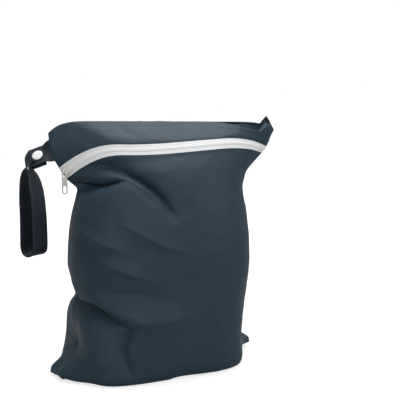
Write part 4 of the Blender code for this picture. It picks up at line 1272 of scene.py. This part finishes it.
def smooth_rows(rows, steps):
    """More rows between those given, on a smooth curve through them."""
    made = []
    for i in range(len(rows) - 1):
        four = [rows[max(i - 1, 0)], rows[i], rows[i + 1], rows[min(i + 2, len(rows) - 1)]]
        for k in range(steps):
            t = k / steps
            weights = (
                -0.5 * t + t**2 - 0.5 * t**3,
                1 - 2.5 * t**2 + 1.5 * t**3,
                0.5 * t + 2 * t**2 - 1.5 * t**3,
                -0.5 * t**2 + 0.5 * t**3,
            )
            place = sum((row[0] * w for row, w in zip(four, weights)), Vector())
            width = sum((row[1] * w for row, w in zip(four, weights)), Vector())
            made.append((place, width.normalized()))
    made.append(rows[-1])
    return made


def strap_frames():
    """The strap's fine rows as arrays of place, direction across its width and direction out of its face."""
    rows = smooth_rows(strap_rows(), STRAP_STEPS)
    frames = []
    for i, (place, width) in enumerate(rows):
        ahead = (rows[min(i + 1, len(rows) - 1)][0] - rows[max(i - 1, 0)][0]).normalized()
        normal = width.cross(ahead).normalized()
        beside = ahead.cross(normal)
        if i == 0:
            beside = width
            normal = beside.cross(ahead).normalized()
        frames.append((np.array(place), np.array(beside), np.array(normal)))
    return frames


def strap_section():
    """Places round the strap's section: across, out of its middle, and which face (0 at an edge)."""
    thick = STRAP_THICK / 2
    half = STRAP_WIDTH / 2 - thick
    across = half * np.linspace(-1, 1, STRAP_SIDE_STEPS)
    angles = [k * math.pi / STRAP_EDGE_STEPS for k in range(1, STRAP_EDGE_STEPS)]
    section = [(x, thick, 1) for x in across]
    section += [(half + thick * math.sin(a), thick * math.cos(a), 0) for a in angles]
    section += [(x, -thick, -1) for x in reversed(across)]
    section += [(-half - thick * math.sin(a), -thick * math.cos(a), 0) for a in angles]
    return section


def strap_relief(x, run):
    """Height of the strap's face: a welt along each folded side, and slight slack along the run."""
    inside = (abs(x) - (STRAP_WIDTH / 2 - STRAP_THICK / 2 - STRAP_EDGE_BAND)) / STRAP_WELT_SOFT
    welt = STRAP_WELT * (1 / (1 + math.exp(-inside)) - 0.5)
    waves = math.sin(run / STRAP_SLACK_EVERY) * math.sin(x / STRAP_SLACK_ACROSS + run / STRAP_SLACK_TURN)
    return welt + STRAP_SLACK * waves


def make_strap():
    """Closed band: each ring goes once round the strap."""
    frames = strap_frames()
    section = strap_section()
    runs = run_of(np.array([frame[0] for frame in frames]))
    rings = []
    for (place, width, normal), run in zip(frames, runs):
        ring = []
        for x, up, side in section:
            ring.append(place + width * x + normal * (up + side * strap_relief(x, run)))
        rings.append(ring)
    points = np.array(rings)
    rows, count = points.shape[:2]
    faces = []
    for i in range(rows - 1):
        for k in range(count):
            beside = (k + 1) % count
            faces.append((i * count + k, (i + 1) * count + k, (i + 1) * count + beside, i * count + beside))
    faces.append(tuple(range(count)))
    faces.append(tuple((rows - 1) * count + k for k in reversed(range(count))))
    mesh = bpy.data.meshes.new("strap_band")
    mesh.from_pydata(points.reshape(-1, 3).tolist(), [], faces)
    across = np.tile([x for x, up, side in section], rows)
    flat = np.stack([across, np.repeat(run_of(points[:, 0]), count)], axis=1)
    corners = np.zeros(len(mesh.loops), int)
    mesh.loops.foreach_get("vertex_index", corners)
    mesh.uv_layers.new(name="cloth").data.foreach_set("uv", flat[corners].ravel())
    mesh.shade_smooth()
    mesh.set_sharp_from_angle(angle=math.radians(STRAP_SHARP))
    return add_object("strap_band", mesh)


strap_band = make_strap()
# Painted shade: the strap takes a darker copy of the coated cloth.
strap_shaded_finish = coated_cloth("strap_cloth", STRAP_SHADED_DARK, STRAP_SHADED_LIGHT, STRAP_ROUGHNESS)
dress(strap_band, "bag", "strap_cloth", strap_shaded_finish, "strap")

# Stitches: dark twisted polyester thread. A row along each side of the strap holds its folded sides, and a
# row beside each edge of the zip holds the cloth to the tape.
STITCH_EVERY = 0.0030
STITCH_LENGTH = 0.0023
STITCH_WIDE = 0.00019
STITCH_SIDES = 6
STITCH_FROM_EDGE = 0.0024
STITCH_ON_STRAP = 0.00005
STITCH_ON_CLOTH = 0.00008
STITCH_RINGS = ((0.0, 0.4), (0.15, 1.0), (0.85, 1.0), (1.0, 0.4))
THREAD = (0.020, 0.030, 0.040)
THREAD_DARK = (0.014, 0.022, 0.030)
THREAD_LIGHT = (0.030, 0.044, 0.056)


def thread_material():
    """Dark twisted thread, slightly glossy."""
    made, tree, shader = new_material("dark_thread", THREAD, 0.5)
    twist = noise_on(tree, own_place(tree), Scale=2400.0)
    tone_between(tree, shader, twist, THREAD_DARK, THREAD_LIGHT)
    return made


def stitch_rows(name, lines):
    """Stitches along lines of closely spaced places, each with the direction out of the cloth."""
    points, faces = capsule(STITCH_RINGS, STITCH_SIDES, STITCH_LENGTH, STITCH_WIDE, STITCH_WIDE)
    frames = []
    for places, out in lines:
        run = run_of(places)
        for k in range(int(run[-1] / STITCH_EVERY)):
            start = k * STITCH_EVERY
            first, last = points_along(places, run, [start, start + STITCH_LENGTH])
            near = int(np.searchsorted(run, start + STITCH_LENGTH / 2).clip(0, len(run) - 1))
            ahead = unit(last - first)
            up = unit(out[near] - ahead * (out[near] @ ahead))
            frames.append((first, (ahead, np.cross(up, ahead), up)))
    return joined_copies(name, points, faces, frames)


def strap_lines():
    """A row of stitches along each side of both faces of the strap, clear of its ends."""
    places, widths, normals = [np.array(column)[2:-1] for column in zip(*strap_frames())]
    lines = []
    for side in (-1, 1):
        for face in (-1, 1):
            beside = widths * side * (STRAP_WIDTH / 2 - STITCH_FROM_EDGE)
            lifted = normals * face * (STRAP_THICK / 2 + STITCH_ON_STRAP)
            lines.append((places + beside + lifted, normals * face))
    return lines


def cloth_lines():
    """A row of stitches in the cloth below the zip and one above it, clear of the side seams."""
    lines = []
    for share, folds, ends, seed in (
        (ZIP_BOTTOM - STITCH_FROM_EDGE / FLAT_HEIGHT, FRONT_FOLDS, FRONT_ENDS, FRONT_SEED),
        (ZIP_TOP + STITCH_FROM_EDGE / FLAT_HEIGHT, STRIP_FOLDS, STRIP_ENDS, STRIP_SEED),
    ):
        shares = np.array([share - 0.001, share, share + 0.001])
        points, out = folded_cloth(shares, even_places(TAPE_COLUMNS), FRONT, folds, ends, seed)
        lines.append(((points[1] + out[1] * STITCH_ON_CLOTH)[6:-6], out[1][6:-6]))
    return lines


thread = thread_material()
strap_stitches = stitch_rows("strap_stitches", strap_lines())
dress(strap_stitches, "bag", "strap_cloth", thread)
zip_stitches = stitch_rows("zip_stitches", cloth_lines())
dress(zip_stitches, "bag", "coated_cloth", thread)

# Snap: two moulded halves of white plastic, pressed through the strap's two layers. Each has a low domed cap
# outside the strap and its grip between the layers.
SNAP_SIDES = 64
SNAP_SHARP = 35
SNAP_WHITE = (0.78, 0.79, 0.80)

# Radius and rise as shares of the cap's, and radius and depth as shares of the grip's.
CAP_PROFILE = (
    (0.97, 0.0),
    (1.0, 0.12),
    (1.0, 0.42),
    (0.975, 0.62),
    (0.92, 0.78),
    (0.80, 0.90),
    (0.60, 0.97),
    (0.30, 1.0),
    (0.02, 1.0),
)
GRIP_PROFILE = ((0.9, 1.0), (1.0, 0.8), (1.0, 0.0))


def snap_material():
    """White moulded plastic, half gloss, with a faint unevenness from the mould."""
    made, tree, shader = new_material("snap_white", SNAP_WHITE, 0.3)
    grain = noise_on(tree, own_place(tree), Scale=420.0)
    rough_between(tree, shader, grain, 0.24, 0.38)
    tree.links.new(bump_by(tree, grain, 0.15, 0.0001).outputs["Normal"], shader.inputs["Normal"])
    return made


def turned(name, profile, matrix):
    """A closed form spun about its own Z from a profile of radius and height, with both ends on the axis."""
    ends = [(0, profile[0][1]), *profile, (0, profile[-1][1])]
    mesh = bpy.data.meshes.new(name)
    edges = [(k, k + 1) for k in range(len(ends) - 1)]
    mesh.from_pydata([(radius, 0, height) for radius, height in ends], edges, [])
    obj = add_object(name, mesh)
    bpy.ops.object.mode_set(mode="EDIT")
    bpy.ops.mesh.select_all(action="SELECT")
    bpy.ops.mesh.spin(steps=SNAP_SIDES, angle=2 * math.pi, center=(0, 0, 0), axis=(0, 0, 1))
    bpy.ops.object.mode_set(mode="OBJECT")
    tidy_form(SNAP_SHARP)
    obj.data.transform(matrix)
    return obj


def make_snap():
    centre, away, width, outward = snap_frame()
    face = STRAP_THICK / 2 + GAP
    grip = (SNAP_BETWEEN - GAP) / 2
    profile = [(SNAP_STUD / 2 * radius, -face - grip * depth) for radius, depth in GRIP_PROFILE]
    profile += [(SNAP_POST / 2, -face), (SNAP_POST / 2, face)]
    profile += [(SNAP_CAP / 2 * radius, face + SNAP_CAP_RISE * rise) for radius, rise in CAP_PROFILE]
    near_half = turned("snap_cap", profile, placed_by(centre, width, away, outward))
    under = placed_by(centre - outward * LAYER_DISTANCE, -width, away, -outward)
    return near_half, turned("snap_back_cap", profile, under)


snap_white = snap_material()
snap_cap, snap_back_cap = make_snap()
dress(snap_cap, "bag", "snap_plastic", snap_white, "snap_stud")
dress(snap_back_cap, "bag", "snap_plastic", snap_white, "snap_socket")

# Camera: a little above the bag and to its left, looking slightly down, so that the front shows with its strap
# and all of its zip.
CAMERA_PLACE = (-0.3128, -0.7742, 0.2790)
CAMERA_HEADING = math.radians(25.8)
CAMERA_DOWN = math.radians(5.6)
CAMERA_LENS = 63
CAMERA_SENSOR = 36


def make_camera():
    camera = add_object("camera", bpy.data.cameras.new("camera"))
    camera.location = CAMERA_PLACE
    camera.rotation_euler = (math.pi / 2 - CAMERA_DOWN, 0, -CAMERA_HEADING)
    camera.data.lens = CAMERA_LENS
    camera.data.sensor_width = CAMERA_SENSOR
    bpy.context.scene.camera = camera


make_camera()

# Studio: a white floor that goes over into white surroundings, one large soft light above, and a weaker one
# from each side of the front.
FLOOR_SIZE = 12
FLOOR_GREY = (0.45, 0.45, 0.45)
FLOOR_GLOW = 0.68
FLOOR_GLOW_START = 0.35
FLOOR_GLOW_END = 1.2
WORLD_LIGHT = 0.35
LIT_PLACE = Vector((0, 0, 0.15))
Light = namedtuple("Light", "name place size watts")
LIGHTS = [
    Light("overhead", (0.15, 0.14, 1.35), 1.0, 17),
    Light("front_right", (1.0, -1.3, 0.8), 0.7, 8),
    Light("front_left", (-0.8, -1.3, 0.9), 1.0, 9),
]


def make_floor():
    """A matt floor that looks white to the camera, more so away from the bag."""
    bpy.ops.mesh.primitive_plane_add(size=FLOOR_SIZE)
    floor = bpy.context.object
    floor.name = "floor"
    made, tree, shader = new_material("floor", FLOOR_GREY, 0.9)
    shader.inputs["Specular IOR Level"].default_value = 0.0
    shader.inputs["Emission Color"].default_value = (1, 1, 1, 1)
    distance = add_node(tree, "VectorMath")
    distance.operation = "LENGTH"
    tree.links.new(own_place(tree), distance.inputs[0])
    far = add_node(tree, "MapRange", To_Min=FLOOR_GLOW, From_Min=FLOOR_GLOW_START, From_Max=FLOOR_GLOW_END)
    tree.links.new(distance.outputs["Value"], far.inputs["Value"])
    glow = add_node(tree, "Math")
    glow.operation = "MULTIPLY"
    tree.links.new(add_node(tree, "LightPath").outputs["Is Camera Ray"], glow.inputs[0])
    tree.links.new(far.outputs["Result"], glow.inputs[1])
    tree.links.new(glow.outputs[0], shader.inputs["Emission Strength"])
    floor.data.materials.append(made)


def make_surroundings():
    """White to the camera, and a weaker even light on the bag."""
    world = bpy.data.worlds.new("surroundings")
    world.use_nodes = True
    tree = world.node_tree
    strength = add_node(tree, "MapRange", To_Min=WORLD_LIGHT)
    tree.links.new(add_node(tree, "LightPath").outputs["Is Camera Ray"], strength.inputs["Value"])
    tree.links.new(strength.outputs["Result"], tree.nodes["Background"].inputs["Strength"])
    tree.nodes["Background"].inputs["Color"].default_value = (1, 1, 1, 1)
    bpy.context.scene.world = world
    bpy.context.scene.view_settings.view_transform = "Standard"


def make_lights():
    for light in LIGHTS:
        lamp = add_object(light.name, bpy.data.lights.new(light.name, "AREA"))
        lamp.data.size = light.size
        lamp.data.energy = light.watts
        lamp.location = light.place
        lamp.rotation_euler = (LIT_PLACE - Vector(light.place)).to_track_quat("-Z", "Y").to_euler()


make_floor()
make_surroundings()
make_lights()
